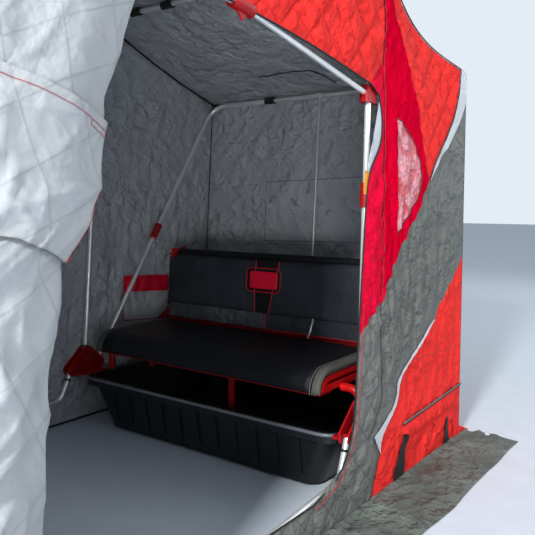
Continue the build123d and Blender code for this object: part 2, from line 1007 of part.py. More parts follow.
upright_low = rear_rail_low + rear_rail_size + seam_gap + upright_width * sin(radians(backrest_lean))
with BuildPart() as backrest_arms:
    for side in SIDES.values():
        with BuildSketch(Plane.YZ.offset(side * (backrest_half_length + seam_gap))):
            with Locations((backrest_front_y, upright_low)):
                Rectangle(
                    upright_width,
                    backrest_high - upright_low,
                    rotation=-backrest_lean,
                    align=(Align.MIN, Align.MIN),
                )
            with Locations((backrest_front_y, backrest_low)):
                with Locations(Location((0, 0, 0), (0, 0, -backrest_lean))):
                    with Locations((0, backrest_high - backrest_low - upright_width)):
                        Rectangle(backrest_depth, upright_width, align=(Align.MIN, Align.MIN))
        extrude(amount=side * upright_thickness)
save(backrest_arms.part, "backrest_arms")

with BuildPart() as backrest_drape:
    with Locations((drape_left_x, backrest_front_y, rear_rail_low + rear_rail_size + seam_gap)):
        Box(
            backrest_half_length - drape_left_x,
            drape_thickness,
            backrest_low - rear_rail_low - rear_rail_size - 2 * seam_gap,
            align=(Align.MIN, Align.MIN, Align.MIN),
        )
save(backrest_drape.part, "backrest_drape")
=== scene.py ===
"""Ice fishing hut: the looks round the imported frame. Lengths are in metres, in the frame's own axes."""
import json
import math

import bpy
import numpy as np
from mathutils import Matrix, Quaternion, Vector
from mathutils.geometry import delaunay_2d_cdt

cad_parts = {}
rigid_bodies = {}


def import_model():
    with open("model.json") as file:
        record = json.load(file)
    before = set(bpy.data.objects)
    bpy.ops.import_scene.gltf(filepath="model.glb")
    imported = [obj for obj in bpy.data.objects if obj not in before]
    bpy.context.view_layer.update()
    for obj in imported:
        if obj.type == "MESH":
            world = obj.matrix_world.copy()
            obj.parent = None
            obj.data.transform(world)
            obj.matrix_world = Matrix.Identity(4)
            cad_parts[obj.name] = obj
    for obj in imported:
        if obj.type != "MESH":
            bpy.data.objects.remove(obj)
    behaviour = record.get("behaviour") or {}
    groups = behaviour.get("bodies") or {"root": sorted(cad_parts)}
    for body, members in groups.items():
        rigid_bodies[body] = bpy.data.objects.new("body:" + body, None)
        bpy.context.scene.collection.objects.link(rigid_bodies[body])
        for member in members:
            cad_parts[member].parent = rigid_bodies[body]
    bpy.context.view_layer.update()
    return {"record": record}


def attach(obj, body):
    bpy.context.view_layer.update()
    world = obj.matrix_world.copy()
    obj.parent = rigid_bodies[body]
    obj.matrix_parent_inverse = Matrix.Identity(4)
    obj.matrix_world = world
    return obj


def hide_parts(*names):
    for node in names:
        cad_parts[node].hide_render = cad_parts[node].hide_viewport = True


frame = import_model()

# Camera, solved from the photograph

CAMERA_PLACE = (1.841, -2.388, 1.058)
CAMERA_YAW, CAMERA_PITCH, CAMERA_ROLL = (math.radians(angle) for angle in (36.62, 5.67, -0.065))
CAMERA_LENS, SENSOR_WIDTH, CAMERA_NEAR = 44.70, 36, 0.05

camera_data = bpy.data.cameras.new("camera")
camera_data.lens = CAMERA_LENS
camera_data.sensor_width = SENSOR_WIDTH
camera_data.clip_start = CAMERA_NEAR
camera = bpy.data.objects.new("camera", camera_data)
bpy.context.scene.collection.objects.link(camera)
camera.location = CAMERA_PLACE
level = math.cos(CAMERA_PITCH)
forward = Vector((-math.sin(CAMERA_YAW) * level, math.cos(CAMERA_YAW) * level, -math.sin(CAMERA_PITCH)))
camera.rotation_mode = "QUATERNION"
camera.rotation_quaternion = Quaternion(forward, CAMERA_ROLL) @ forward.to_track_quat("-Z", "Y")
bpy.context.scene.camera = camera

# Materials

QUILT_PITCH, WEAVE_PITCH = 0.1, 0.0016
FACET_DEPTH, CREASE_DEPTH, WEAVE_DEPTH, STITCH_DEPTH, GRAIN_DEPTH = 0.009, 0.0012, 0.00008, 0.002, 0.001
STITCH_EDGES = (0.007, 0.034)  # where a quilting line's groove is full and where it ends, in pitches
BLOTCH_SCALE, CREASE_SCALE, FACET_SCALE, FACET_BEND = 9.0, 17.0, 15.0, 0.12


def node(tree, kind, inputs=None, **settings):
    """A new shader node: inputs maps a socket to a value or to another node's output."""
    made = tree.nodes.new(f"ShaderNode{kind}")
    for name, value in settings.items():
        setattr(made, name, value)
    for name, value in (inputs or {}).items():
        socket = made.inputs[name]
        if isinstance(value, bpy.types.NodeSocket):
            tree.links.new(value, socket)
        else:
            socket.default_value = value
    return made


def calc(tree, operation, *values):
    """A Math node's result."""
    return node(tree, "Math", dict(enumerate(values)), operation=operation).outputs[0]


def mapped(tree, value, low, high, start, end):
    """A value with low to high brought to start to end, and held beyond them."""
    inputs = {"Value": value, "From Min": low, "From Max": high, "To Min": start, "To Max": end}
    return node(tree, "MapRange", inputs).outputs[0]


def ramp(tree, factor, stops):
    """A colour ramp through (place, colour) stops."""
    made = node(tree, "ValToRGB", {"Fac": factor})
    for element, (place, colour) in zip(made.color_ramp.elements, stops):
        element.position = place
        element.color = (*colour, 1)
    return made.outputs["Color"]


def shade(colour, share):
    """A colour scaled in brightness."""
    return tuple(min(1.0, part * share) for part in colour)


def tones(colour, spread):
    """The stops of a colour that varies by a share of its brightness."""
    return (0.3, shade(colour, 1 - spread)), (0.7, shade(colour, 1 + spread))


def material(name, roughness, metallic=0.0, **sockets):
    """A new material with its Principled shader."""
    made = bpy.data.materials.new(name)
    made.use_nodes = True
    tree = made.node_tree
    shader = tree.nodes["Principled BSDF"]
    for socket, value in {"Roughness": roughness, "Metallic": metallic, **sockets}.items():
        shader.inputs[socket.replace("_", " ")].default_value = value
    return made, tree, shader


def dress(tree, shader, colours, height, strength, distance):
    """Gives a shader its colours and its bumps."""
    tree.links.new(colours, shader.inputs["Base Color"])
    bump = node(tree, "Bump", {"Height": height, "Strength": strength, "Distance": distance})
    tree.links.new(bump.outputs["Normal"], shader.inputs["Normal"])


def plain(name, colour, roughness, metallic=0.0, grain=120.0, depth=0.15, spread=0.25, **sockets):
    """A hard material: a colour that varies a little, with a fine grain."""
    made, tree, shader = material(name, roughness, metallic, **sockets)
    place = node(tree, "TexCoord").outputs["Object"]
    broad = node(tree, "TexNoise", {"Vector": place, "Scale": BLOTCH_SCALE, "Detail": 4.0}).outputs["Fac"]
    fine = node(tree, "TexNoise", {"Vector": place, "Scale": grain, "Detail": 3.0}).outputs["Fac"]
    dress(tree, shader, ramp(tree, broad, tones(colour, spread)), fine, depth, GRAIN_DEPTH)
    return made


def fabric(
    name, colour, roughness, quilted=False, crumple=1.0, stitch=0.35, spread=0.12, shine=0.3, light=None,
    scale=5.0,
):
    """Woven cloth that follows the sheet's own coordinates: quilting lines, crumpled facets and weave."""
    made, tree, shader = material(name, roughness, Specular_IOR_Level=shine)
    cloth = node(tree, "Attribute", attribute_name="cloth").outputs["Vector"]
    parts = node(tree, "SeparateXYZ", {"Vector": cloth}).outputs
    metres = node(tree, "VectorMath", {0: cloth, "Scale": QUILT_PITCH}, operation="SCALE").outputs[0]
    broad = node(tree, "TexNoise", {"Vector": metres, "Scale": scale, "Detail": 5.0}).outputs
    ridges = {"Vector": metres, "Scale": CREASE_SCALE, "Detail": 4.0, "Roughness": 0.5, "Distortion": 0.7}
    crease = node(tree, "TexNoise", ridges, noise_type="RIDGED_MULTIFRACTAL").outputs["Fac"]
    bending = {0: broad["Color"], 1: (FACET_BEND,) * 3, 2: metres}
    bent = node(tree, "VectorMath", bending, operation="MULTIPLY_ADD").outputs[0]
    cells = {"Vector": bent, "Scale": FACET_SCALE, "Detail": 2.0, "Roughness": 0.45, "Lacunarity": 2.3}
    facets = node(tree, "TexVoronoi", cells).outputs["Distance"]
    depth = calc(tree, "MULTIPLY", mapped(tree, broad["Fac"], 0.35, 0.62, 0.15, 1.0), FACET_DEPTH)
    crumpled = calc(tree, "MULTIPLY", facets, depth)
    colours = ramp(tree, broad["Fac"], ((0.44, colour), (0.54, light)) if light else tones(colour, spread))
    turns = [calc(tree, "MULTIPLY", parts[axis], math.tau * QUILT_PITCH / WEAVE_PITCH) for axis in "XY"]
    weave = calc(tree, "MULTIPLY", *(calc(tree, "SINE", turn) for turn in turns))
    creased = calc(tree, "ADD", calc(tree, "MULTIPLY", crease, CREASE_DEPTH), crumpled)
    woven = calc(tree, "MULTIPLY", weave, WEAVE_DEPTH)
    height = calc(tree, "ADD", calc(tree, "MULTIPLY", creased, crumple), woven)
    if quilted:
        # Quilting lines: a groove sunk in the bump and darkened in colour, painted shade in the groove
        offs = [calc(tree, "SUBTRACT", calc(tree, "FRACT", parts[axis]), 0.5) for axis in "XY"]
        lines = [calc(tree, "SUBTRACT", 0.5, calc(tree, "ABSOLUTE", off)) for off in offs]
        groove_and_shade = mapped(tree, calc(tree, "MINIMUM", *lines), *STITCH_EDGES, stitch, 0.0)
        mixed = {0: groove_and_shade, 6: colours, 7: (*shade(colour, 0.35), 1)}
        colours = node(tree, "Mix", mixed, data_type="RGBA").outputs[2]
        height = calc(tree, "SUBTRACT", height, calc(tree, "MULTIPLY", groove_and_shade, STITCH_DEPTH))
    dress(tree, shader, colours, height, 1.0, 1.0)
    return made


ORANGE_RED = (0.80, 0.032, 0.028)
CRIMSON = (0.60, 0.001, 0.022)
CHARCOAL = (0.122, 0.127, 0.118)
SILVER = (0.54, 0.57, 0.61)
GREY = (0.50, 0.515, 0.54)

# Looks by the slot of the pieces that carry them: each has a colour, a roughness and further settings

CLOTHS = {
    "red_fabric": {
        "red_quilt": (ORANGE_RED, 0.75, dict(quilted=True, crumple=2.3, stitch=0.5, shine=0.07)),
        # The door jamb's red: darker and more crimson than ORANGE_RED, painted shade where the cloth turns in
        # beside the door's edge
        "red_strip": ((0.70, 0.003, 0.035), 0.75, dict(quilted=True, crumple=2.0, stitch=0.25, shine=0.03)),
        "red_cloth": (ORANGE_RED, 0.75, dict(crumple=2.4, shine=0.07)),
        "crimson_cloth": (CRIMSON, 0.75, dict(crumple=1.6, shine=0.0)),
        "red_fabric": (ORANGE_RED, 0.75, dict(shine=0.12)),
        "tag_cloth": ((0.80, 0.30, 0.02), 0.5, {}),
    },
    "black_fabric": {
        "charcoal_cloth": (CHARCOAL, 0.55, dict(crumple=3.2)),
        "charcoal_quilt": (shade(CHARCOAL, 1.15), 0.6, dict(quilted=True, crumple=2.4, stitch=0.45)),
        "black_fabric": ((0.012, 0.012, 0.013), 0.75, {}),
        "black_trim": ((0.010, 0.010, 0.012), 0.6, {}),
        "hem_tape": ((0.13, 0.135, 0.13), 0.6, {}),
    },
    "lining_fabric": {
        "silver_cloth": (SILVER, 0.5, dict(crumple=0.5)),
        "lining_quilt": (GREY, 0.5, dict(quilted=True, crumple=2.6, stitch=0.3, spread=0.10, shine=0.5)),
        "flap_lining": ((0.36, 0.38, 0.40), 0.5, dict(quilted=True, crumple=0.55, stitch=0.22, spread=0.05)),
        "lining_fabric": (GREY, 0.5, dict(crumple=0.9, shine=0.5)),
    },
    "skirt_fabric": {
        "skirt_fabric": ((0.128, 0.144, 0.130), 0.6, dict(crumple=3.6, spread=0.4, shine=0.12)),
    },
    "window_film": {
        "window_film": (
            (0.58, 0.09, 0.11), 0.3, dict(crumple=2.4, shine=0.4, light=(0.76, 0.30, 0.35), scale=15.0)
        ),
    },
    "seat_vinyl": {
        "seat_cloth": ((0.005, 0.0055, 0.0085), 0.5, dict(crumple=0.3, spread=0.2)),
        "seat_side": ((0.10, 0.10, 0.09), 0.6, dict(crumple=0.3)),
        "pad_cloth": ((0.030, 0.035, 0.043), 0.6, dict(crumple=0.5, spread=0.25, shine=0.15)),
        "drape_cloth": ((0.055, 0.062, 0.072), 0.5, dict(crumple=1.4, spread=0.4, shine=0.5)),
        "panel_cloth": ((0.004, 0.004, 0.005), 0.6, dict(crumple=0.2)),
        "badge_cloth": ((0.85, 0.003, 0.035), 0.45, dict(crumple=0.1, spread=0.05)),
    },
}
HARD_LOOKS = {
    "red_fabric": {
        "red_piping": ((0.42, 0.006, 0.012), 0.6, {}),
        "crimson_trim": ((0.36, 0.002, 0.014), 0.8, {}),
    },
    "sled_plastic": {
        "sled_plastic": ((0.006, 0.0066, 0.009), 0.42, dict(Specular_IOR_Level=0.4)),
        # The rim bead: a pale blue-grey far lighter than the sled's plastic, a painted sheen of the sky along
        # the rim's top
        "sled_lip": ((0.13, 0.145, 0.165), 0.35, {}),
    },
    "red_plastic": {"red_plastic": ((0.36, 0.004, 0.007), 0.4, dict(Specular_IOR_Level=0.3))},
    "black_plastic": {"black_plastic": ((0.015, 0.015, 0.015), 0.4, {})},
    "pole_aluminium": {"pole_aluminium": ((0.86, 0.87, 0.88), 0.25, dict(metallic=0.5, spread=0.06))},
    "seat_vinyl": {"seat_vinyl": ((0.012, 0.0125, 0.014), 0.45, {})},
    "red_steel": {
        "red_steel": ((0.50, 0.005, 0.006), 0.38, dict(Specular_IOR_Level=0.3)),
        "red_steel_low": ((0.17, 0.002, 0.003), 0.5, dict(Specular_IOR_Level=0.2)),
    },
}
# The seat's legs and rails get a darker copy of red_steel: painted shade under the seat
SHADED_NODES = ("seat_legs", "seat_rails")

LOOKS, SLOTS = {}, {}
for maker, table in ((fabric, CLOTHS), (plain, HARD_LOOKS)):
    for slot, rows in table.items():
        for name, (colour, roughness, settings) in rows.items():
            LOOKS[name] = maker(name, colour, roughness, **settings)
            SLOTS[name] = slot

for row in frame["record"]["subparts"]:
    look = "red_steel_low" if row["node"] in SHADED_NODES else row["material_slot"]
    item = bpy.data.objects[row["node"]]
    item.data.materials.clear()
    item.data.materials.append(LOOKS[look])

# Noise for the cloth

TABLE = 97


def ease(share):
    """Smooth step of an array from 0 to 1."""
    share = np.clip(share, 0, 1)
    return share * share * share * (share * (share * 6 - 15) + 10)


def noise(s, t, seed):
    """Smooth noise of the plane, about -1 to 1."""
    turns = np.random.default_rng(seed).random((TABLE, TABLE)) * math.tau
    i, j = np.floor(s).astype(int), np.floor(t).astype(int)
    u, v = s - i, t - j

    def corner(di, dj):
        angle = turns[(i + di) % TABLE, (j + dj) % TABLE]
        return np.cos(angle) * (u - di) + np.sin(angle) * (v - dj)

    near = corner(0, 0) + ease(u) * (corner(1, 0) - corner(0, 0))
    far = corner(0, 1) + ease(u) * (corner(1, 1) - corner(0, 1))
    return 1.4 * (near + ease(v) * (far - near))


def turned(s, t, angle):
    """Coordinates in axes turned by an angle in degrees."""
    turn = math.radians(angle)
    return s * math.cos(turn) + t * math.sin(turn), t * math.cos(turn) - s * math.sin(turn)


def creases(s, t, seed, size, angle=0.0, stretch=1.0):
    """Sharp folds about size apart and drawn out along an angle, about -0.5 to 0.5."""
    along, across = turned(s, t, angle)
    bend = 0.7 * noise(s / size / 2.5, t / size / 2.5, seed + 1)
    field = noise(along / (size * stretch) + bend, across / size + bend, seed)
    return (1 - np.abs(field)) ** 3 - 0.5


# The hull's shape, as in the CAD: its section's corners are (y, z)

HANDS = {"left": -1, "right": 1}
HALF_WIDTH, SIDE_LEAN = 0.788, 0.0247
FABRIC = 0.006
RIDGE = (-0.270, 1.930)
BACK_EAVE, FRONT_EAVE = (0.562, 1.620), (-1.720, 1.680)
BACK_BASE, FRONT_BASE = (0.487, 0.0), (-2.080, 0.0)

# The cloth's sag between the hoops: its depth, its reach down the walls and its share in the roof's middle

SAG, SAG_REACH, SAG_MIDDLE = 0.045, 0.22, 0.45

# The front hoop's line inside the left wall, which holds the cloth out: crest, slope, width, start and share

RAIL_CREST, RAIL_RISE, RAIL_ROOM, RAIL_START, RAIL_HOLD = (-0.994, 1.566), 0.118, 0.045, 0.12, 0.7


def half_width(height):
    """How far a side wall's outer face stands from the middle at a height."""
    return HALF_WIDTH - SIDE_LEAN * height


def roof_height(y):
    """Height of the roof's outer face at a y."""
    return np.where(
        y > RIDGE[0],
        RIDGE[1] + (RIDGE[0] - y) * (RIDGE[1] - BACK_EAVE[1]) / (BACK_EAVE[0] - RIDGE[0]),
        RIDGE[1] - (RIDGE[0] - y) * (RIDGE[1] - FRONT_EAVE[1]) / (RIDGE[0] - FRONT_EAVE[0]),
    )


def sagged(points):
    """Hull points moved as the cloth sags between the hoops, at the roof and its side edges."""
    x, y, z = points.T
    behind, ahead = (y - RIDGE[0]) / (BACK_EAVE[0] - RIDGE[0]), (RIDGE[0] - y) / (RIDGE[0] - FRONT_EAVE[0])
    share = np.clip(np.where(y > RIDGE[0], behind, ahead), 0, 1)
    sag = SAG * (4 * share * (1 - share)) ** 1.5
    below = np.exp(-((np.clip(roof_height(y) - z, 0, 9) / SAG_REACH) ** 2))
    edge = np.clip(np.abs(x) / half_width(z), 0, 1)
    rail = RAIL_CREST[1] + (RAIL_CREST[0] - y) * RAIL_RISE
    started = ease((RAIL_CREST[0] + RAIL_START - y) / RAIL_START)
    room = np.exp(-(((z - rail) / RAIL_ROOM) ** 2)) * started * (x < 0)
    moved = points.copy()
    moved[:, 0] -= np.sign(x) * sag * below * edge**3 * (1 - RAIL_HOLD * room)
    moved[:, 2] -= sag * below * (SAG_MIDDLE + (1 - SAG_MIDDLE) * edge**3)
    return moved


# Paths, outlines and grids of points


def stepped(path, step=0.02):
    """An open path's points, with more between them."""
    path = [np.array(point, float) for point in path]
    found = []
    for start, end in zip(path, path[1:]):
        count = max(1, math.ceil(np.linalg.norm(end - start) / step))
        found += [start + (end - start) * k / count for k in range(count)]
    return np.array([*found, path[-1]])


def resampled(outline, step):
    """A closed outline's points, with more between its corners."""
    return stepped([*outline, outline[0]], step)[:-1]


def rounded(path, rounds=3):
    """An open path with its corners cut round."""
    path = np.array(path, float)
    for _ in range(rounds):
        low = 0.75 * path[:-1] + 0.25 * path[1:]
        high = 0.25 * path[:-1] + 0.75 * path[1:]
        path = np.vstack([path[:1], np.stack([low, high], axis=1).reshape(-1, 2), path[-1:]])
    return path


def above(path, height):
    """The part of a path of flat points that lies over a height."""
    return path[path[:, 1] > height]


def below(path, height):
    """The part of a path of flat points that lies under a height."""
    return path[path[:, 1] < height]


def unit(rows):
    """Each row of an array brought to length 1."""
    return rows / np.linalg.norm(rows, axis=1)[:, None]


def shifted(path, distance):
    """A path of flat points moved sideways, to the left of its direction."""
    run = unit(np.gradient(path, axis=0))
    return path + distance * np.stack([-run[:, 1], run[:, 0]], axis=1)


def length_along(path):
    """How far along a path each of its points lies."""
    return np.concatenate([[0], np.cumsum(np.linalg.norm(np.diff(path, axis=0), axis=1))])


def edges_of(outline):
    """A closed outline's edges, as pairs of points."""
    return zip(outline, [*outline[1:], outline[0]])


def inside(points, outline):
    """Whether each point is inside a closed outline."""
    held = np.zeros(len(points), bool)
    x, y = points.T
    for (ax, ay), (bx, by) in edges_of(outline):
        if ay != by:
            held ^= ((ay > y) != (by > y)) & (x < (bx - ax) * (y - ay) / (by - ay) + ax)
    return held


def edge_distance(points, outlines):
    """Each point's distance to the nearest edge of closed outlines."""
    nearest = np.full(len(points), 9.0)
    for outline in outlines:
        for start, end in edges_of(outline):
            start, run = np.array(start), np.array(end) - np.array(start)
            share = np.clip(((points - start) @ run) / max(run @ run, 1e-12), 0, 1)
            gap = np.linalg.norm(points - start - share[:, None] * run, axis=1)
            nearest = np.minimum(nearest, gap)
    return nearest


def area_of(outline):
    """The area in a closed outline."""
    return abs(sum(a[0] * b[1] - b[0] * a[1] for a, b in edges_of(outline))) / 2


def gridded(across, up):
    """The two coordinates of a grid's points, row by row."""
    return (part.ravel() for part in np.meshgrid(across, up))


def grid_faces(rows, columns):
    """The faces of a grid whose points lie row by row."""
    return [
        (r * columns + c, r * columns + c + 1, (r + 1) * columns + c + 1, (r + 1) * columns + c)
        for r in range(rows - 1)
        for c in range(columns - 1)
    ]


def ring_faces(rings, count, closed=False):
    """The faces between rings of count points each, that lie one after another."""
    faces = []
    for k in range(rings if closed else rings - 1):
        p, q = k * count, (k + 1) % rings * count
        faces += [(p + j, p + (j + 1) % count, q + (j + 1) % count, q + j) for j in range(count)]
    return faces


def turned_over(faces):
    """Four-sided faces that look the other way."""
    return [(a, d, c, b) for a, b, c, d in faces]


def faced(points, faces, out):
    """Faces turned so that the first of them looks along a direction."""
    a, b, c = points[list(faces[0])[:3]]
    return [face[::-1] for face in faces] if np.cross(b - a, c - a) @ np.array(out) < 0 else faces


def cloth_of(s, t, pitch=QUILT_PITCH):
    """Points' coordinates on their sheet, in quilting pitches."""
    return np.stack([s, t, 0 * s], axis=1) / pitch


def add_mesh(name, points, faces, look, cloth=None):
    """A new mesh piece that rides on the root body, in its look."""
    mesh = bpy.data.meshes.new(name)
    mesh.from_pydata([tuple(point) for point in points], [], [tuple(int(i) for i in face) for face in faces])
    if cloth is not None:
        layer = mesh.attributes.new("cloth", "FLOAT_VECTOR", "POINT")
        layer.data.foreach_set("vector", np.asarray(cloth, np.float32).ravel())
    mesh.polygons.foreach_set("use_smooth", [True] * len(mesh.polygons))
    mesh.materials.append(LOOKS[look])
    made = bpy.data.objects.new(name, mesh)
    bpy.context.scene.collection.objects.link(made)
    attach(made, "root")
    return made


# The hull's walls and the sheets cut from them

SHARP_FOLD = 0.004
WAVE_LIMITS = (-0.008, 0.02)
HELD_EDGE, CALM_REACH, PINCH_REACH = 0.10, 0.07, 0.03
CELLS = 7
PUFFS = {"red_quilt": 0.010, "red_strip": 0.006, "charcoal_quilt": 0.008, "lining_quilt": 0.004}
sheets = []


class Wall:
    """A flat side of the hull: where its plane's points lie, and how its cloth ripples."""

    def __init__(
        self, point, outward, border, seed, soft=0.006, fans=(), grid_turn=45.0, pleat=None, calm=()
    ):
        self.point, self.outward, self.border, self.seed = point, np.array(outward), border, seed
        self.soft, self.fans, self.grid_turn, self.pleat, self.calm = soft, fans, grid_turn, pleat, calm

    def ripple(self, flat):
        """How far the cloth stands out of the plane: still at the border, in fans and a pleat where given."""
        s, t = flat.T
        wave = self.soft * noise(s / 0.33, t / 0.45, self.seed)
        wave += 1.3 * SHARP_FOLD * creases(s, t, self.seed + 3, 0.10, 70, 3.0)
        wave += 0.6 * SHARP_FOLD * creases(s, t, self.seed + 7, 0.06, 20, 2.5)
        for centre, reach, angle, size, depth in self.fans:
            away = np.linalg.norm(flat - np.array(centre), axis=1) / reach
            wave += depth * np.exp(-(away**2)) * creases(s, t, self.seed + 11, size, angle, 6.0)
        wave = np.clip(wave, *WAVE_LIMITS) * ease(edge_distance(flat, self.border) / HELD_EDGE)
        if self.calm:
            wave *= 0.25 + 0.75 * ease(edge_distance(flat, self.calm) / CALM_REACH)
        if self.pleat:
            start, end, drop, width, depth = self.pleat
            low = edge_distance(flat - np.array((0, -drop)), [[start, end]])
            uneven = 1 + 0.5 * noise(s / 0.05, t / 0.2, self.seed + 15)
            wave += depth * np.exp(-((low / width) ** 2)) * uneven
        return wave

    def place(self, flat, lift=0.0):
        """Where points of the panel lie, lifted outwards."""
        flat = np.atleast_2d(np.array(flat, float))
        out = self.ripple(flat) + lift
        return sagged(self.point(*flat.T) + out[:, None] * self.outward)


def cut(wall, name, outline, look, side=1, holes=(), puff=None, nodes=(), lift=0.0):
    """A sheet cut to a wall's outline: side 1 is its shell, -1 its lining. A lift moves it off the cloth."""

    def within(points):
        kept = inside(points, outline)
        for hole in holes:
            kept &= ~inside(points, hole)
        return kept

    step = QUILT_PITCH / CELLS
    loops = [resampled(loop, step) for loop in (outline, *holes)]
    edge = np.concatenate(loops)
    reach = math.ceil(np.abs(edge).max() * 1.5 / step)
    ticks = np.arange(-reach, reach + 1) * step
    grid = np.stack(turned(*gridded(ticks, ticks), -wall.grid_turn), axis=1)
    low, high = edge.min(axis=0), edge.max(axis=0)
    grid = grid[((grid > low) & (grid < high)).all(axis=1)]
    grid = grid[within(grid)]
    grid = grid[edge_distance(grid, (outline, *holes)) > step * 0.4]
    edges, first = [], 0
    for loop in loops:
        edges += [(first + k, first + (k + 1) % len(loop)) for k in range(len(loop))]
        first += len(loop)
    found = delaunay_2d_cdt([Vector(p) for p in np.concatenate([edge, grid])], edges, [], 0, 1e-6)
    flat, faces = np.array([tuple(p) for p in found[0]]), np.array(found[2])
    faces = faces[within(flat[faces].mean(axis=1))]
    cloth = cloth_of(*turned(*flat.T, wall.grid_turn))
    pinch = ease(edge_distance(flat, (outline, *holes)) / PINCH_REACH)
    rise = np.sqrt(np.abs(np.sin(math.pi * cloth[:, 0]) * np.sin(math.pi * cloth[:, 1])))
    puff = PUFFS.get(look, 0.0) if puff is None else puff
    puffed = side * puff * (rise * pinch - 0.3 * (1 - pinch))
    points = wall.place(flat, puffed + side * lift - (FABRIC if side < 0 else 0.0))
    made = add_mesh(name, points, faced(points, faces, side * wall.outward), look, cloth)
    if nodes:
        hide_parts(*nodes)
    sheets.append((made, high - low, area_of(outline) - sum(area_of(hole) for hole in holes), "stretched"))


# Strips along paths


def tube(name, path, radius, look, wide=None, closed=False, sides=8, up=(0.13, 0.21, 1.0)):
    """A round or flattened strip along a path of points."""
    path = np.array(path, float)
    ahead = np.roll(path, -1, axis=0) if closed else np.vstack([path[1:], 2 * path[-1:] - path[-2:-1]])
    back = np.roll(path, 1, axis=0) if closed else np.vstack([2 * path[:1] - path[1:2], path[:-1]])
    run = unit(ahead - back)
    across = unit(np.cross(run, np.array(up, float)))
    high = np.cross(across, run)
    turn = np.arange(sides) * math.tau / sides
    ring = (
        path[:, None]
        + across[:, None] * (wide or radius) * np.cos(turn)[None, :, None]
        + high[:, None] * radius * np.sin(turn)[None, :, None]
    )
    count = len(path)
    faces = ring_faces(count, sides, closed)
    if not closed:
        faces.append(tuple(range(sides))[::-1])
        faces.append(tuple((count - 1) * sides + j for j in range(sides)))
    cloth = cloth_of(np.repeat(length_along(path), sides), np.tile(turn * radius, count))
    return add_mesh(name, ring.reshape(-1, 3), faces, look, cloth)


def seam(wall, name, path, lift, radius, wide, look="red_piping"):
    """A sewn strip along a path on a wall."""
    return tube(name, wall.place(stepped(path), lift), radius, look, wide=wide, up=wall.outward)


def arc(start, through, end, count=24):
    """Points of the circle's arc from start through a point to end."""
    a, b, c = (np.array(point, float) for point in (start, through, end))
    twice = 2 * (a[0] * (b[1] - c[1]) + b[0] * (c[1] - a[1]) + c[0] * (a[1] - b[1]))
    across = (a @ a) * (b[1] - c[1]) + (b @ b) * (c[1] - a[1]) + (c @ c) * (a[1] - b[1])
    up = (a @ a) * (c[0] - b[0]) + (b @ b) * (a[0] - c[0]) + (c @ c) * (b[0] - a[0])
    centre = np.array([across, up]) / twice
    first, _, last = np.unwrap([math.atan2(*(point - centre)[::-1]) for point in (a, b, c)])
    sweep = np.linspace(first, last, count)
    return centre + np.linalg.norm(a - centre) * np.stack([np.cos(sweep), np.sin(sweep)], axis=1)


def tangent_arc(path, end, count=16):
    """Points of the arc that leaves a path's end along it and reaches a point."""
    start, run = path[-1], path[-1] - path[-2]
    side = np.array([-run[1], run[0]]) / np.linalg.norm(run)
    reach = np.array(end) - start
    radius = (reach @ reach) / (2 * reach @ side)
    centre = start + side * radius
    middle = (start + np.array(end)) / 2 - centre
    return arc(start, centre + middle / np.linalg.norm(middle) * abs(radius), end, count)


# Side walls: the lines that their cloth is cut along, as (y, height)

DOOR_STEP, DOOR_CREST, DOOR_FRONT = (-0.333, 1.455), (-0.988, 1.572), (-1.370, 1.625)
DOOR_BOW, DOOR_ANKLE = (-1.612, 0.930), (-1.690, 0.430)
FOOT_FRONT, FOOT_HEIGHT = (-1.919, 0.750), 0.500
SILL_START, SILL_END = (-0.725, 0.125), (-1.450, 0.125)
SILL_REAR, SILL_FRONT = (SILL_START[0], 0.0), (SILL_END[0], 0.0)
BAND_TIP, BAND_FOOT = (0.160, 1.143), (0.211, 0.568)
BAND_BACK, BAND_TOP = (0.5247, 0.815), (0.5564, 1.500)
STRIP_END, FLARE_START = (-0.258, 0.700), (-0.371, 0.232)
BORDER_END, BORDER_CORNER, HEM_TURN = (-0.330, 0.227), (-0.281, 0.150), (-0.360, 0.0)
ZIP_SIDE, ZIP_START, ZIP_END = (-0.262, 0.214), (-0.098, 0.214), (0.498, 0.240)
door_rear = rounded(
    [(-0.276, 1.425), (-0.252, 1.366), (-0.252, 1.290), (-0.278, 1.237), (-0.322, 1.190), (-0.360, 1.135)]
    + [(-0.376, 1.040), (-0.394, 0.909), (-0.426, 0.660), (-0.452, 0.450), (-0.470, 0.290), (-0.560, 0.160)]
    + [SILL_START]
)
door_bow = arc(DOOR_FRONT, DOOR_BOW, DOOR_ANKLE)
door_front = np.vstack([door_bow, tangent_arc(door_bow, SILL_END)[1:]])
FOOT_SIDE = (float(np.interp(-FOOT_HEIGHT, -door_front[:, 1], door_front[:, 0])), FOOT_HEIGHT)
RED_END = (float(np.interp(-0.605, -door_rear[:, 1], door_rear[:, 0])), 0.605)
upper_edge, lower_edge = above(door_rear, RED_END[1]), below(door_rear, RED_END[1])
strip_seam = rounded(
    [STRIP_END, (-0.244, 0.814), (-0.240, 1.000), (-0.236, 1.239), (-0.232, 1.533), (-0.214, 1.758)]
    + [(-0.208, 1.9069)]
)
lower_seam = rounded([STRIP_END, (-0.254, 0.522), (-0.250, 0.396), (-0.318, 0.260), FLARE_START])
flare_seam = rounded([FLARE_START, (-0.422, 0.219), (-0.560, 0.185), (-0.658, 0.154), SILL_START])
SPLIT_HEIGHT = 1.56
strip_low, strip_high = below(strip_seam, SPLIT_HEIGHT), above(strip_seam, SPLIT_HEIGHT)
gusset_seam = rounded(
    [(-0.162, 1.8847), (-0.104, 1.749), (-0.013, 1.587), (0.058, 1.429), (0.101, 1.250), BAND_TIP]
)
band_left = rounded([BAND_TIP, (0.054, 1.025), (-0.011, 0.968), (-0.143, 0.850), (-0.176, 0.816), STRIP_END])
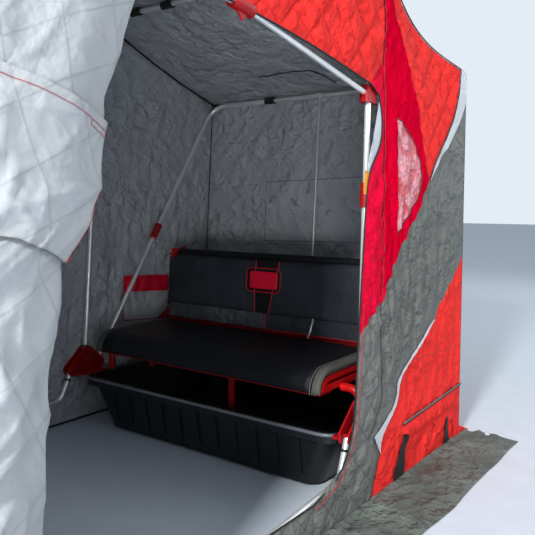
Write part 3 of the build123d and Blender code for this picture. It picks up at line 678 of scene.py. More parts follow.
wedge_left = rounded(
    [BAND_TIP, (0.227, 1.227), (0.339, 1.324), (0.429, 1.420), (0.493, 1.517), (0.512, 1.6386)]
)
wedge_right = rounded([BAND_TIP, (0.232, 1.204), (0.325, 1.275), (0.424, 1.340), (0.494, 1.410), BAND_TOP])
band_low = rounded([BAND_BACK, (0.445, 0.757), (0.275, 0.644), BAND_FOOT])
border_inner = rounded(
    [BAND_FOOT, (0.186, 0.579), (0.022, 0.480), (-0.139, 0.407), (-0.155, 0.313), (-0.248, 0.262), BORDER_END]
)
border_outer = rounded(
    [BAND_FOOT, (0.196, 0.570), (0.040, 0.470), (-0.119, 0.402), (-0.131, 0.314), (-0.212, 0.250), ZIP_SIDE]
)
border_tail = rounded([ZIP_SIDE, (-0.281, 0.195), BORDER_CORNER])
window_edge = rounded(
    [(-0.137, 0.938), (-0.081, 0.980), (-0.010, 1.034), (0.060, 1.100), (0.074, 1.186), (0.020, 1.272)]
    + [(-0.063, 1.333), (-0.137, 1.362)],
    2,
)


def points_of(*parts):
    """One closed outline from points and paths, without points that repeat."""
    found = []
    for part in parts:
        for point in np.atleast_2d(np.array(part, float)):
            if not found or np.linalg.norm(point - found[-1]) > 1e-4:
                found.append(tuple(float(x) for x in point))
    if np.linalg.norm(np.array(found[0]) - found[-1]) < 1e-4:
        found.pop()
    return found


HEADER_END = (DOOR_FRONT[0], float(roof_height(np.array(DOOR_FRONT[0]))))
door_outline = points_of(door_rear, door_front[::-1], DOOR_CREST, DOOR_STEP)
hull_side = points_of(FRONT_BASE, BACK_BASE, BACK_EAVE, RIDGE, FRONT_EAVE)
window_outline = points_of(window_edge)
front_high, front_low = above(door_front, FOOT_HEIGHT), below(door_front, FOOT_HEIGHT)

# Each cut of a side's shell: name, look, outline. They dress side_rear where CARRIERS says nothing else

SHELL_CUTS = (
    (
        "door_surround", "red_quilt",
        (DOOR_FRONT, DOOR_CREST, DOOR_STEP, strip_low[-1], strip_high, RIDGE, HEADER_END),
    ),
    ("door_jamb", "red_strip", (DOOR_STEP, upper_edge, RED_END, strip_low)),
    ("door_strip", "charcoal_quilt", (RED_END, lower_edge, flare_seam[::-1], lower_seam[::-1])),
    ("window_panel", "crimson_cloth", (strip_seam[::-1], band_left[::-1], gusset_seam[::-1])),
    ("corner_panel", "red_quilt", (gusset_seam, wedge_left)),
    ("upper_border", "silver_cloth", (wedge_left, BACK_EAVE, wedge_right[::-1])),
    ("band", "charcoal_cloth", (wedge_right, band_low, border_inner, lower_seam[::-1], band_left[::-1])),
    ("lower_border", "silver_cloth", (border_inner, BORDER_CORNER, border_tail[::-1], border_outer[::-1])),
    ("lower_panel", "red_cloth", (band_low, border_outer, ZIP_END)),
    ("foot_panel", "red_cloth", (border_tail, HEM_TURN, BACK_BASE, ZIP_END)),
    (
        "flare", "charcoal_quilt",
        (FLARE_START, BORDER_END, BORDER_CORNER, HEM_TURN, SILL_REAR, flare_seam[::-1]),
    ),
    ("sill", "charcoal_quilt", (SILL_START, SILL_REAR, SILL_FRONT, SILL_END)),
    ("front_panel", "red_quilt", (front_high, FOOT_SIDE, FOOT_FRONT, FRONT_EAVE, HEADER_END)),
    ("front_foot", "charcoal_quilt", (FOOT_FRONT, FOOT_SIDE, front_low, SILL_FRONT, FRONT_BASE)),
)
CARRIERS = {"door_surround": "door_header", "sill": "door_sill"}
CARRIERS |= {"front_panel": "side_front", "front_foot": "side_front"}
SIDE_NODES = ("side_rear", "door_header", "side_front", "door_sill")
SILVER_LIFT = 0.003

# Gathers that fan through a wall's cloth: centre, reach, angle, distance apart and depth

SIDE_FANS = (
    ((0.30, 1.50), 0.5, 62, 0.07, 0.010),
    ((-0.6, 1.75), 0.5, 35, 0.05, 0.012),
    ((-0.3, 1.10), 0.25, 84, 0.035, 0.010),
    ((0.0, 0.75), 0.45, 80, 0.07, 0.018),
    ((-0.19, 0.62), 0.22, 87, 0.05, 0.022),
    ((0.15, 0.06), 0.20, 66, 0.08, 0.018),
)
BACK_FANS = (((-0.55, 1.45), 0.5, 40, 0.08, 0.006), ((0.55, 1.4), 0.5, -35, 0.08, 0.005))

# The pleat that hangs over the zip: start, end, drop, width and depth

ZIP_PLEAT = ((ZIP_START[0] + 0.03, 0.216), (ZIP_END[0] - 0.10, 0.236), 0.048, 0.026, 0.013)


def side_wall(side):
    """A side wall's plane: its points are (y, height)."""
    lean = math.atan(SIDE_LEAN)

    def point(s, t):
        return np.stack([side * half_width(t), s, t], axis=1)

    border = [hull_side, door_outline, [ZIP_START, ZIP_END]]
    calm = [pair for path in (border_inner, wedge_left) for pair in zip(path, path[1:])]
    outward = (side * math.cos(lean), 0, math.sin(lean))
    return Wall(point, outward, border, 21 + side, fans=SIDE_FANS, pleat=ZIP_PLEAT, calm=calm)


sides = {hand: side_wall(side) for hand, side in HANDS.items()}
for hand, wall in sides.items():
    for part, look, parts in SHELL_CUTS:
        holes = [window_outline] if part == "window_panel" else ()
        lift = SILVER_LIFT if look == "silver_cloth" else 0.0
        nodes = (f"{CARRIERS.get(part, 'side_rear')}_{hand}",)
        cut(wall, f"{part}_{hand}", points_of(*parts), look, holes=holes, nodes=nodes, lift=lift)
    lined = [f"{carrier}_{hand}" for carrier in SIDE_NODES]
    cut(wall, f"side_lining_{hand}", hull_side, "lining_quilt", side=-1, holes=[door_outline], nodes=lined)
    cut(wall, f"window_film_{hand}", window_outline, "window_film", nodes=(f"side_window_{hand}",))
cut(sides["left"], "door_shell", door_outline, "red_quilt", puff=0.007, nodes=("left_door",))
cut(sides["left"], "door_lining", door_outline, "lining_quilt", side=-1, nodes=("left_door",))

# Back wall, roof and front wall


def cross_wall(start, end, seed, **settings):
    """A panel across the hull between two of its corners: its points are (x, distance from start)."""
    start, end = np.array(start), np.array(end)
    length = float(np.linalg.norm(end - start))
    run = (end - start) / length

    def point(s, t):
        return np.stack([s, start[0] + run[0] * t, start[1] + run[1] * t], axis=1)

    low, high = half_width(start[1]), half_width(end[1])
    outline = points_of((-low, 0), (low, 0), (high, length), (-high, length))
    return Wall(point, (0, run[1], -run[0]), [outline], seed, **settings), outline


back, back_outline = cross_wall(BACK_BASE, BACK_EAVE, 41, fans=BACK_FANS)
rear_roof, rear_outline = cross_wall(BACK_EAVE, RIDGE, 43, soft=0.008, grid_turn=0.0)
front_roof, front_outline = cross_wall(RIDGE, FRONT_EAVE, 45, soft=0.008, grid_turn=0.0)
front, front_face = cross_wall(FRONT_EAVE, FRONT_BASE, 47)
VENT = [(-0.225, 0.045), (0.095, 0.045), (0.095, 0.205), (0.02, 0.225), (-0.15, 0.225), (-0.225, 0.205)]
VENT_FLAP = [(-0.24, 0.236), (-0.19, 0.239), (-0.021, 0.258), (0.065, 0.247), (0.1, 0.191), (0.13, 0.088)]
vent_outline = points_of(rounded([*VENT, VENT[0]], 1))
flap_outline = points_of(VENT_FLAP, (0.110, 0.030), (-0.240, 0.030))
for part, wall, outline, holes in (
    ("back_wall", back, back_outline, ()),
    ("roof_back", rear_roof, rear_outline, [vent_outline]),
    ("roof_front", front_roof, front_outline, ()),
    ("front_wall", front, front_face, ()),
):
    if part.startswith("roof"):
        cut(wall, f"{part}_shell", outline, "red_quilt", holes=holes, nodes=(part,))
    cut(wall, f"{part}_lining", outline, "lining_quilt", side=-1, holes=holes, nodes=(part,))
cut(rear_roof, "vent_mesh", vent_outline, "black_fabric", nodes=("roof_vent",))
cut(rear_roof, "vent_flap", flap_outline, "lining_quilt", side=-1, puff=0.0, lift=0.003)

# The end walls' shells, in bands that carry on from the side walls


def banded(wall, node_name, corners, bands):
    """Cuts a wall's shell in bands from its start: each gives (name, distance of its end, look)."""
    low_left, low_right, high_right, high_left = (np.array(corner) for corner in corners)
    length = high_left[1]

    def line(t):
        sides = ((low_left, high_left), (low_right, high_right))
        return [tuple(low + (high - low) * t / length) for low, high in sides]

    last = 0.0
    for name, end, look in bands:
        outline = [*line(last), *line(end)[::-1]]
        cut(wall, name, outline, look, nodes=(node_name,))
        if end < length:
            seam(wall, f"{name}_piping", outline[2:], 0.001, 0.0012, 0.0025)
        last = end


back_length, face_length = back_outline[2][1], front_face[2][1]
stretch = back_length / (BACK_EAVE[1] - BACK_BASE[1])
foot_line = face_length * (1 - FOOT_HEIGHT / FRONT_EAVE[1])
BACK_BANDS = (
    ("back_foot", BAND_BACK[1] * stretch, "red_quilt"),
    ("back_band", BAND_TOP[1] * stretch, "charcoal_cloth"),
    ("back_top", back_length, "red_quilt"),
)
FRONT_BANDS = (("front_top", foot_line, "red_quilt"), ("front_base", face_length, "charcoal_quilt"))
banded(back, "back_wall", back_outline, BACK_BANDS)
banded(front, "front_wall", front_face, FRONT_BANDS)

# Trims sewn on the hull

STRAPS = (
    [(-0.103, 0.175), (-0.076, 0.168), (-0.072, 0.140), (-0.095, 0.095), (-0.090, 0.040), (-0.105, 0.004)]
    + [(-0.185, 0.004), (-0.181, 0.057), (-0.143, 0.103), (-0.116, 0.145)],
    [(0.326, 0.130), (0.355, 0.122), (0.349, 0.061), (0.362, 0.004), (0.290, 0.004), (0.310, 0.072)],
)
CORNER_FLAP = [(0.402, 0.100), (0.474, 0.052), (0.589, 0.004), (0.414, 0.004)]
rear_and_top = stepped(np.vstack([door_front[:1], [DOOR_CREST], [DOOR_STEP], door_rear]), 0.015)
door_piping = shifted(below(rear_and_top, 0.72), 0.010)
zip_line = np.array([ZIP_START, ZIP_END])
middle_seam = rounded([(-0.069, 0.446), (0.2, 0.430), (0.505, 0.417)])

# Each seam of a side wall: name, path, lift, half its thickness, half its width, look

SIDE_SEAMS = (
    ("door_binding", rear_and_top, -0.0015, 0.0028, 0.0030, "black_trim"),
    ("door_piping", door_piping, 0.0075, 0.0012, 0.0014, "red_piping"),
    ("front_binding", door_front, -0.0015, 0.0028, 0.003, "black_trim"),
    ("sill_binding", [SILL_START, SILL_END], -0.0015, 0.0028, 0.003, "black_trim"),
    ("window_binding", window_edge, 0.0012, 0.0012, 0.0022, "black_trim"),
    ("strip_piping", strip_seam, 0.0012, 0.0014, 0.0026, "crimson_trim"),
    ("gusset_piping", gusset_seam, 0.0006, 0.0008, 0.0012, "red_piping"),
    ("zip_tape", zip_line - (0, 0.005), 0.004, 0.0015, 0.005, "black_trim"),
    ("zip_teeth", zip_line, 0.006, 0.0016, 0.0045, "hem_tape"),
    ("middle_seam", middle_seam, 0.0003, 0.0008, 0.0014, "red_piping"),
    ("base_hem", [HEM_TURN, BACK_BASE], 0.003, 0.002, 0.008, "black_trim"),
    ("front_hem", [FRONT_BASE, HEM_TURN], 0.003, 0.002, 0.008, "black_trim"),
)
for hand, wall in sides.items():
    for name, *settings in SIDE_SEAMS:
        seam(wall, f"{name}_{hand}", *settings)
    for count, strap in enumerate(STRAPS):
        cut(wall, f"strap_{count}_{hand}", strap, "black_trim", lift=0.005)
    cut(wall, f"corner_flap_{hand}", CORNER_FLAP, "red_cloth", lift=0.006)
FACING = [(-0.272, 1.402), (-0.280, 1.374), (-0.310, 1.303), (-0.335, 1.233), (-0.361, 1.158)]
FACING += [(-0.330, 1.150), (-0.255, 1.230), (-0.235, 1.310), (-0.240, 1.402)]
TAG = [(-0.377, 1.164), (-0.348, 1.158), (-0.349, 1.111), (-0.367, 1.080), (-0.392, 1.084), (-0.391, 1.124)]
cut(sides["right"], "door_facing", FACING, "silver_cloth", lift=-0.0045)
cut(sides["right"], "door_tag", TAG, "tag_cloth", lift=-0.002)


def ridge_line(side, inset, drop):
    """Points along a roof's side edge, from the back eave over the ridge to the front eave."""
    behind, ahead = np.linspace(BACK_EAVE[0], RIDGE[0], 24)[:-1], np.linspace(RIDGE[0], FRONT_EAVE[0], 36)
    y = np.concatenate([behind, ahead])
    z = roof_height(y)
    return sagged(np.stack([side * (half_width(z) - inset), y, z - drop], axis=1))


def corner_line(low, high, side, inset, step):
    """Points up an upright corner of the hull, moved in from it and along the wall."""
    share = np.linspace(0, 1, 40)
    y = low[0] + (high[0] - low[0]) * share
    z = low[1] + (high[1] - low[1]) * share
    return np.stack([side * (half_width(z) - inset), y + step, z], axis=1)


for hand, side in HANDS.items():
    for name, path, radius in (
        ("roof_piping", ridge_line(side, -0.0005, -0.0005), 0.0022),
        ("roof_tape", ridge_line(side, 0.010, 0.014), 0.0042),
        ("back_piping", corner_line(BACK_BASE, BACK_EAVE, side, 0.0, 0.0), 0.0010),
        ("front_piping", corner_line(FRONT_BASE, FRONT_EAVE, side, -0.0005, -0.0005), 0.0018),
        ("back_tape", corner_line(BACK_BASE, BACK_EAVE, side, 0.010, -0.010), 0.0022),
    ):
        tube(f"{name}_{hand}", path, radius, "black_trim")

# Strips along X between the side walls: each lies at a corner of the section, moved by (y, z)

for name, corner, moved, radius, look in (
    ("back_eave_piping", BACK_EAVE, (0.0005, 0.0005), 0.0022, "black_trim"),
    ("ridge_piping", RIDGE, (0.0, 0.0005), 0.0022, "black_trim"),
    ("front_eave_piping", FRONT_EAVE, (-0.0005, 0.0005), 0.0022, "black_trim"),
    ("eave_tape", BACK_EAVE, (-0.013, -0.014), 0.005, "black_trim"),
    ("eave_piping", BACK_EAVE, (-0.014, -0.021), 0.0016, "red_piping"),
):
    y, z = corner[0] + moved[0], corner[1] + moved[1]
    x = np.linspace(-1, 1, 60) * (half_width(z) - 0.008)
    tube(name, sagged(np.stack([x, 0 * x + y, 0 * x + z], axis=1)), radius, look)

seam(sides["left"], "wall_seam", [(-0.243, 0.15), (-0.243, 1.80)], -0.0068, 0.0006, 0.0010)
INNER_HEM = (-0.009, 0.0015, 0.005, "black_trim")
for hand, wall in sides.items():
    seam(wall, f"inner_hem_{hand}", [(SILL_START[0], 0.006), (0.470, 0.006)], *INNER_HEM)
seam(back, "inner_hem_back", [(-0.77, 0.006), (0.77, 0.006)], *INNER_HEM)
BACK_SEAMS = (
    [(-0.725, 1.380), (0.0, 1.412), (0.725, 1.436)],
    [(-0.728, 1.125), (-0.340, 1.158)],
    [(-0.735, 0.805), (-0.340, 0.830), (0.735, 0.850)],
)
for count, path in enumerate(BACK_SEAMS):
    seam(back, f"back_seam_{count}", path, -0.0068, 0.0008, 0.0016, "hem_tape")
PANEL = [(-0.340, 0.847), (0.735, 0.866), (0.725, 1.192), (-0.333, 1.164)]
cut(back, "back_panel", PANEL, "lining_fabric", side=-1, lift=0.003)
seam(back, "panel_stitch", [*PANEL, PANEL[0]], -0.0098, 0.0008, 0.0016, "hem_tape")
seam(rear_roof, "vent_line", VENT_FLAP, -0.0100, 0.0018, 0.0040, "black_trim")
seam(rear_roof, "vent_edge", [*vent_outline, vent_outline[0]], 0.003, 0.003, 0.005, "black_trim")

# Pocket on the left wall

POCKET_LOW, POCKET_SEAM, POCKET_HIGH = (
    [(-0.132, 0.449), (0.190, 0.424)],
    [(-0.132, 0.598), (0.190, 0.574)],
    [(-0.131, 0.682), (0.189, 0.660)],
)
left = sides["left"]
pocket, header = points_of(POCKET_LOW, POCKET_SEAM[::-1]), points_of(POCKET_SEAM, POCKET_HIGH[::-1])
cut(left, "pocket_body", pocket, "lining_fabric", side=-1, nodes=("wall_pocket",), lift=0.008)
cut(left, "pocket_header", header, "badge_cloth", side=-1, lift=0.010)
seam(left, "pocket_piping", [POCKET_SEAM[0], *POCKET_LOW, POCKET_SEAM[1]], -0.016, 0.0016, 0.0024)

# Skirt: crumpled strips along the walls' feet


def skirt(name, start, end, outward, seed):
    """A crumpled strip of skirt on the ground, from start to end along a wall's foot."""
    start, end, outward = (np.array(part, float) for part in (start, end, outward))
    length = float(np.linalg.norm(end - start))
    run = (end - start) / length
    columns, rows = max(12, int(length / 0.011)), 26
    s, t = gridded(np.linspace(0, length, columns), np.linspace(0, 1, rows))
    reach = t * SKIRT_WIDTH * (1 - 0.05 * (noise(s / 0.22, 0 * s + 3.3, seed) + 0.6))
    fold = creases(s, reach, seed + 1, 0.13, 12, 3.0) + 0.45 * creases(s, reach, seed + 5, 0.06, -25, 2.2)
    near = 1.2 - t
    rise = 0.003 + 0.018 * np.clip(fold + 0.2, 0, 1.2) * ease(t / 0.10) * near * ease((1 - t) / 0.08 + 0.15)
    swell = 0.006 * (1 + noise(s / 0.25, reach / 0.12, seed + 9)) * t * (1 - t) * 4
    rise += swell + 0.012 * ease(1 - t / 0.1)
    points = start + run * s[:, None] + outward * reach[:, None] + np.array((0, 0, 1.0)) * rise[:, None]
    faces = faced(points, grid_faces(rows, columns), (0, 0, 1))
    made = add_mesh(name, points, faces, "skirt_fabric", cloth_of(s, reach))
    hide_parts("ground_skirt")
    sheets.append((made, (SKIRT_WIDTH, length), SKIRT_WIDTH * length, "laid"))


SKIRT_WIDTH, SKIRT_TAIL, END_SKIRT = 0.258, 0.075, 0.640
EYELET_X, EYELET_Y, EYELET_RADIUS = 0.905, 0.530, 0.009
for hand, side in HANDS.items():
    foot = side * (HALF_WIDTH + 0.001)
    start, end = (foot, FRONT_BASE[0], 0), (foot, BACK_BASE[0] + SKIRT_TAIL, 0)
    skirt(f"skirt_{hand}", start, end, (side, 0, 0), 91 + side)
for name, y, outward, seed in (("skirt_back", BACK_BASE[0], 1, 95), ("skirt_front", FRONT_BASE[0], -1, 97)):
    skirt(name, (-END_SKIRT, y, 0), (END_SKIRT, y, 0), (0, outward, 0), seed)

turn = np.linspace(0, math.tau, 16, endpoint=False)
for hand, side in HANDS.items():
    x, y = side * EYELET_X + EYELET_RADIUS * np.cos(turn), EYELET_Y + EYELET_RADIUS * np.sin(turn)
    eyelet = np.stack([x, y, 0 * turn + 0.016], axis=1)
    tube(f"eyelet_{hand}", eyelet, 0.0025, "pole_aluminium", closed=True)

# Seat cushion: a padded strip that rolls over the front, with a sewn end band

SEAT_HALF, SEAT_FRONT, SEAT_BACK = 0.612, -0.430, 0.042
SEAT_TOP, SEAT_NOSE, SEAT_ROLL, SEAT_PAD = 0.455, 0.369, 0.078, 0.028
END_BAND = 0.036


def seat_line(depth):
    """The cushion's section line at a depth under its cover, from its back over the roll: (y, z)."""
    turn = np.linspace(0, math.pi / 2, 15)
    middle = (SEAT_FRONT + SEAT_ROLL, SEAT_TOP - SEAT_ROLL)
    flat = np.linspace(SEAT_BACK, middle[0], 30)[:-1]
    drop = np.linspace(middle[1], SEAT_NOSE, 3)[1:]
    radius = SEAT_ROLL - depth
    top = np.stack([flat, 0 * flat + SEAT_TOP - depth], axis=1)
    roll = np.stack([middle[0] - radius * np.sin(turn), middle[1] + radius * np.cos(turn)], axis=1)
    return np.vstack([top, roll, np.stack([0 * drop + SEAT_FRONT + depth, drop], axis=1)])


def at_x(x, line):
    """A line of (y, z) points, at an x."""
    return np.column_stack([0 * line[:, 0] + x, line])


def seat_piece(name, low, high, look, ends, seed):
    """A length of the cushion between two x: ends gives the two rounding depths."""
    outer, under = seat_line(0.0), seat_line(SEAT_PAD)
    middle, normal = (outer + under) / 2, (outer - under) / SEAT_PAD
    count, size = len(outer), 2 * len(outer)
    x = np.linspace(low, high, max(6, int((high - low) / 0.014)))
    along = length_along(outer)
    rim = np.minimum(along, along[-1] - along)
    soft = 1 - np.sqrt(np.clip(1 - (1 - np.clip(rim / 0.016, 0, 1)) ** 2, 0.12, 1))
    rings = []
    for place in x:
        near = min((place - low) / ends[0], (high - place) / ends[1], 1.0)
        pull = 1 - math.sqrt(max(0.05, 1 - (1 - near) ** 2))
        shrink = np.clip(np.maximum(soft, pull), 0, 0.85)[:, None]
        crown = 0.005 * np.sin(math.pi * np.clip(along / along[-1], 0, 1)) * (1 - pull)
        ripple = 0.0022 * noise(along / 0.13, 0 * along + place / 0.21, seed)
        ripple += 0.0022 * creases(along, 0 * along + place, seed + 2, 0.09, 12, 3.0)
        top = outer + (middle - outer) * shrink + normal * (crown + ripple * (1 - pull))[:, None]
        rings.append(at_x(place, np.vstack([top, (under + (middle - under) * shrink)[::-1]])))
    points = np.concatenate(rings)
    faces = turned_over(ring_faces(len(x), size))
    last = (len(x) - 1) * size
    for j in range(count - 1):
        faces.append((j, j + 1, size - 2 - j, size - 1 - j))
        faces.append((last + size - 1 - j, last + size - 2 - j, last + j + 1, last + j))
    run = np.concatenate([along, along[::-1] + 0.5])
    made = add_mesh(name, points, faces, look, cloth_of(points[:, 0], np.tile(run, len(x))))
    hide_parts("seat_cushion")


inner_end = SEAT_HALF - END_BAND
seat_piece("seat_pad", -inner_end, inner_end, "seat_cloth", (0.004, 0.004), 101)
seat_piece("seat_band_left", -SEAT_HALF, -inner_end, "seat_side", (0.012, 0.003), 103)
seat_piece("seat_band_right", inner_end, SEAT_HALF, "seat_side", (0.003, 0.012), 105)
for hand, side in HANDS.items():
    for count, inset in enumerate((0.000, 0.011, 0.022)):
        path = at_x(side * (inner_end + inset), seat_line(-0.003)[2:])
        tube(f"seat_piping_{count}_{hand}", path, 0.0028, "seat_side")

# Backrest: a crowned pad in a leaned frame of its own, with a sleeve over its top

PAD_HALF, PAD_LOW, PAD_HIGH, PAD_DEPTH = 0.642, 0.520, 0.796, 0.096
PAD_HEIGHT = PAD_HIGH - PAD_LOW
PAD_EDGE, PAD_DROOP, PAD_WAIST = 0.034, 0.012, 0.004
PAD_FRONT, PAD_LEAN = 0.056, math.radians(4)


def pad_point(x, up, out):
    """A point of the backrest by its x, its height up the pad and its distance out of the front face."""
    y = PAD_FRONT + up * math.sin(PAD_LEAN) - out * math.cos(PAD_LEAN)
    z = PAD_LOW + up * math.cos(PAD_LEAN) + out * math.sin(PAD_LEAN)
    return np.stack([np.asarray(x) + 0 * y, y, z], axis=-1)


def pad_front(x, up):
    """How far the pad's cover stands out of its front plane."""
    u, v = x / PAD_HALF, 2 * up / PAD_HEIGHT - 1
    crown = 0.004 * (1 - v**2) * (1 - u**8)
    ripple = 0.0030 * noise(x / 0.16, up / 0.10, 111) + 0.0035 * creases(x, up, 113, 0.09, 70, 2.5)
    return crown + ripple * (1 - v**4) * (1 - u**8)


def on_cover(flat, lift):
    """Points of (x, height up the pad) laid on the pad's cover."""
    return pad_point(*flat.T, pad_front(*flat.T) + lift)


def backrest_pad():
    """The crowned pad: two faces that meet round a rounded edge."""
    columns, rows = 100, 30
    x, up = gridded(np.linspace(-1, 1, columns), np.linspace(0, 1, rows))
    x = PAD_HALF * np.sin(x * math.pi / 2) * 0.02 + x * PAD_HALF * 0.98
    up = up * PAD_HEIGHT
    edge = np.minimum(PAD_HALF - np.abs(x), np.minimum(up, PAD_HEIGHT - up))
    inset = PAD_EDGE - np.sqrt(np.clip(PAD_EDGE**2 - (PAD_EDGE - np.clip(edge, 0, PAD_EDGE)) ** 2, 0, None))
    squeeze = 1 - 2 * PAD_WAIST * (1 - (x / PAD_HALF) ** 2) / PAD_HEIGHT
    middle = PAD_HEIGHT / 2 + (up - PAD_HEIGHT / 2) * squeeze
    middle -= PAD_DROOP * ease((np.abs(x) - 0.57) / 0.03) * up / PAD_HEIGHT
    points = np.concatenate(
        [pad_point(x, middle, pad_front(x, up) - inset), pad_point(x, middle, -PAD_DEPTH + inset)]
    )
    faces = []
    for quad in grid_faces(rows, columns):
        faces += [quad, tuple(rows * columns + k for k in quad[::-1])]
    border = [*range(columns)]
    border += [r * columns + columns - 1 for r in range(1, rows)]
    border += [(rows - 1) * columns + c for c in range(columns - 2, -1, -1)]
    border += [r * columns for r in range(rows - 2, 0, -1)]
    faces += [(b, a, rows * columns + a, rows * columns + b) for a, b in edges_of(border)]
    made = add_mesh("backrest_pad", points, faces, "pad_cloth", cloth_of(np.tile(x, 2), np.tile(up, 2)))
    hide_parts("backrest")


backrest_pad()

# Patches and pipings on the pad's cover. A patch's rings give their share of its size and of its lift

PATCH_RINGS = ((1.0, 0.0), (0.93, 1.0), (0.75, 1.1), (0.5, 1.15), (0.25, 1.2))


def pad_piping(name, path, lift, radius, closed=False):
    """A strip on the pad's cover."""
    path = on_cover(stepped(path, 0.01), lift)
    tube(name, path[:-1] if closed else path, radius, "red_piping", closed=closed)


def pad_patch(name, outline, look, lift):
    """A sewn patch on the pad's cover."""
    loop = resampled(outline, 0.006)
    middle, count, rings = loop.mean(axis=0), len(loop), len(PATCH_RINGS)
    shares, rises = zip(*PATCH_RINGS)
    flat = np.vstack([*(middle + (loop - middle) * share for share in shares), middle])
    points = on_cover(flat, np.append(np.repeat(rises, count), rises[-1]) * lift)
    first = (rings - 1) * count
    faces = ring_faces(rings, count)
    faces += [(first + j, first + (j + 1) % count, rings * count) for j in range(count)]
    add_mesh(name, points, faced(points, faces, (0, -1, 0)), look, cloth_of(*flat.T))


def corner_rounded(low, high, radius, count=6):
    """A rectangle with round corners, as a closed outline."""
    left, right, foot, top = low[0] + radius, high[0] - radius, low[1] + radius, high[1] - radius
    found = []
    for centre, start in (((right, top), 0), ((left, top), 90), ((left, foot), 180), ((right, foot), 270)):
        for k in range(count + 1):
            turn = math.radians(start + 90 * k / count)
            found.append((centre[0] + radius * math.cos(turn), centre[1] + radius * math.sin(turn)))
    return found


PAD_TOP = PAD_HEIGHT - 0.010
PANEL_LEFT, PANEL_FOOT, PANEL_HEAD = -0.051, 0.026, 0.084
BADGE_LOW, BADGE_HIGH, BADGE_BORDER = (-0.100, 0.119), (0.093, 0.229), 0.013
panel = [(PANEL_LEFT, 0.006), (PANEL_FOOT, 0.006), (PANEL_HEAD, PAD_TOP), (PANEL_LEFT, PAD_TOP)]
badge = corner_rounded(BADGE_LOW, BADGE_HIGH, 0.022)
inner_badge = corner_rounded(np.add(BADGE_LOW, BADGE_BORDER), np.subtract(BADGE_HIGH, BADGE_BORDER), 0.012)
pad_patch("backrest_panel", panel, "panel_cloth", 0.0015)
pad_piping("panel_piping_left", [(PANEL_LEFT, 0.0), (PANEL_LEFT, PAD_TOP)], 0.003, 0.0028)
pad_piping("panel_piping_right", [(PANEL_FOOT, 0.0), (PANEL_HEAD, PAD_TOP)], 0.003, 0.0028)
pad_patch("badge_border", badge, "panel_cloth", 0.004)
pad_patch("badge", inner_badge, "badge_cloth", 0.006)
pad_piping("badge_piping", [*badge, badge[0]], 0.004, 0.0032, closed=True)
sleeve_x = np.linspace(-0.590, 0.590, 80)
sleeve_up = PAD_HEIGHT + 0.005 + 0.0015 * noise(sleeve_x / 0.11, 0 * sleeve_x, 117)
tube("backrest_sleeve", pad_point(sleeve_x, sleeve_up, -0.040 + 0 * sleeve_x), 0.018, "panel_cloth", sides=16)

# Cloth that hangs from the pad's lower edge to the seat

DRAPE_HALF, DRAPE_SPLIT, DRAPE_TOP = 0.598, 0.026, PAD_LOW + 0.022


def drape(name, low_x, high_x, low_z, look, seed, nodes=()):
    """A hanging cloth between two x. Gives its points by row and column."""
    height, width = DRAPE_TOP - low_z, high_x - low_x
    columns, rows = max(10, int(width / 0.012)), 16
    x, t = gridded(np.linspace(low_x, high_x, columns), np.linspace(0, 1, rows))
    z = DRAPE_TOP - t * height
    wave = 0.004 * noise(x / 0.07, z / 0.12, seed) + 0.005 * creases(x, z, seed + 1, 0.07, 82, 2.0)
    points = np.stack([x, PAD_FRONT - 0.010 - 0.012 * t + wave, z], axis=1)
    made = add_mesh(name, points, turned_over(grid_faces(rows, columns)), look, cloth_of(x, z))
    if nodes:
        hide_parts(*nodes)
    sheets.append((made, (height, width), height * width, "hung"))
    return points.reshape(rows, columns, 3)


right_drape = drape("drape_right", DRAPE_SPLIT, DRAPE_HALF, 0.472, "pad_cloth", 121, ("backrest_drape",))
drape("drape_left", -DRAPE_HALF, DRAPE_SPLIT - 0.004, 0.474, "drape_cloth", 127)
for name, path in (("drape_piping_side", right_drape[:, 0]), ("drape_piping_low", right_drape[-1])):
    tube(name, path + np.array((0, -0.003, 0)), 0.003, "red_piping")
LATCH_ROD = [(0.292, 0.030, 0.548), (0.288, 0.018, 0.50), (0.280, 0.006, 0.462)]
tube("latch_rod", LATCH_ROD, 0.005, "pole_aluminium")
for hand, side in HANDS.items():
    arm_top = [(side * 0.597, 0.050, 0.788), (side * 0.590, 0.100, 0.809), (side * 0.578, 0.150, 0.826)]
    tube(f"arm_top_{hand}", arm_top, 0.0025, "red_steel", wide=0.012)

# Sled's rim bead, whose pale colour is a painted sheen of the sky on the rim, and the holes in the hubs'
# plates

SLED_HALF_LENGTH, SLED_HALF_DEPTH, RIM_HEIGHT, RIM_CORNER = 0.705, 0.450, 0.240, 0.088
rim = corner_rounded((-SLED_HALF_LENGTH, -SLED_HALF_DEPTH), (SLED_HALF_LENGTH, SLED_HALF_DEPTH), RIM_CORNER)
rim = resampled([(x * 0.997, y * 0.995) for x, y in rim], 0.03)
bead = np.column_stack([rim, np.full(len(rim), RIM_HEIGHT - 0.003)])
tube("sled_bead", bead, 0.0070, "sled_lip", closed=True)

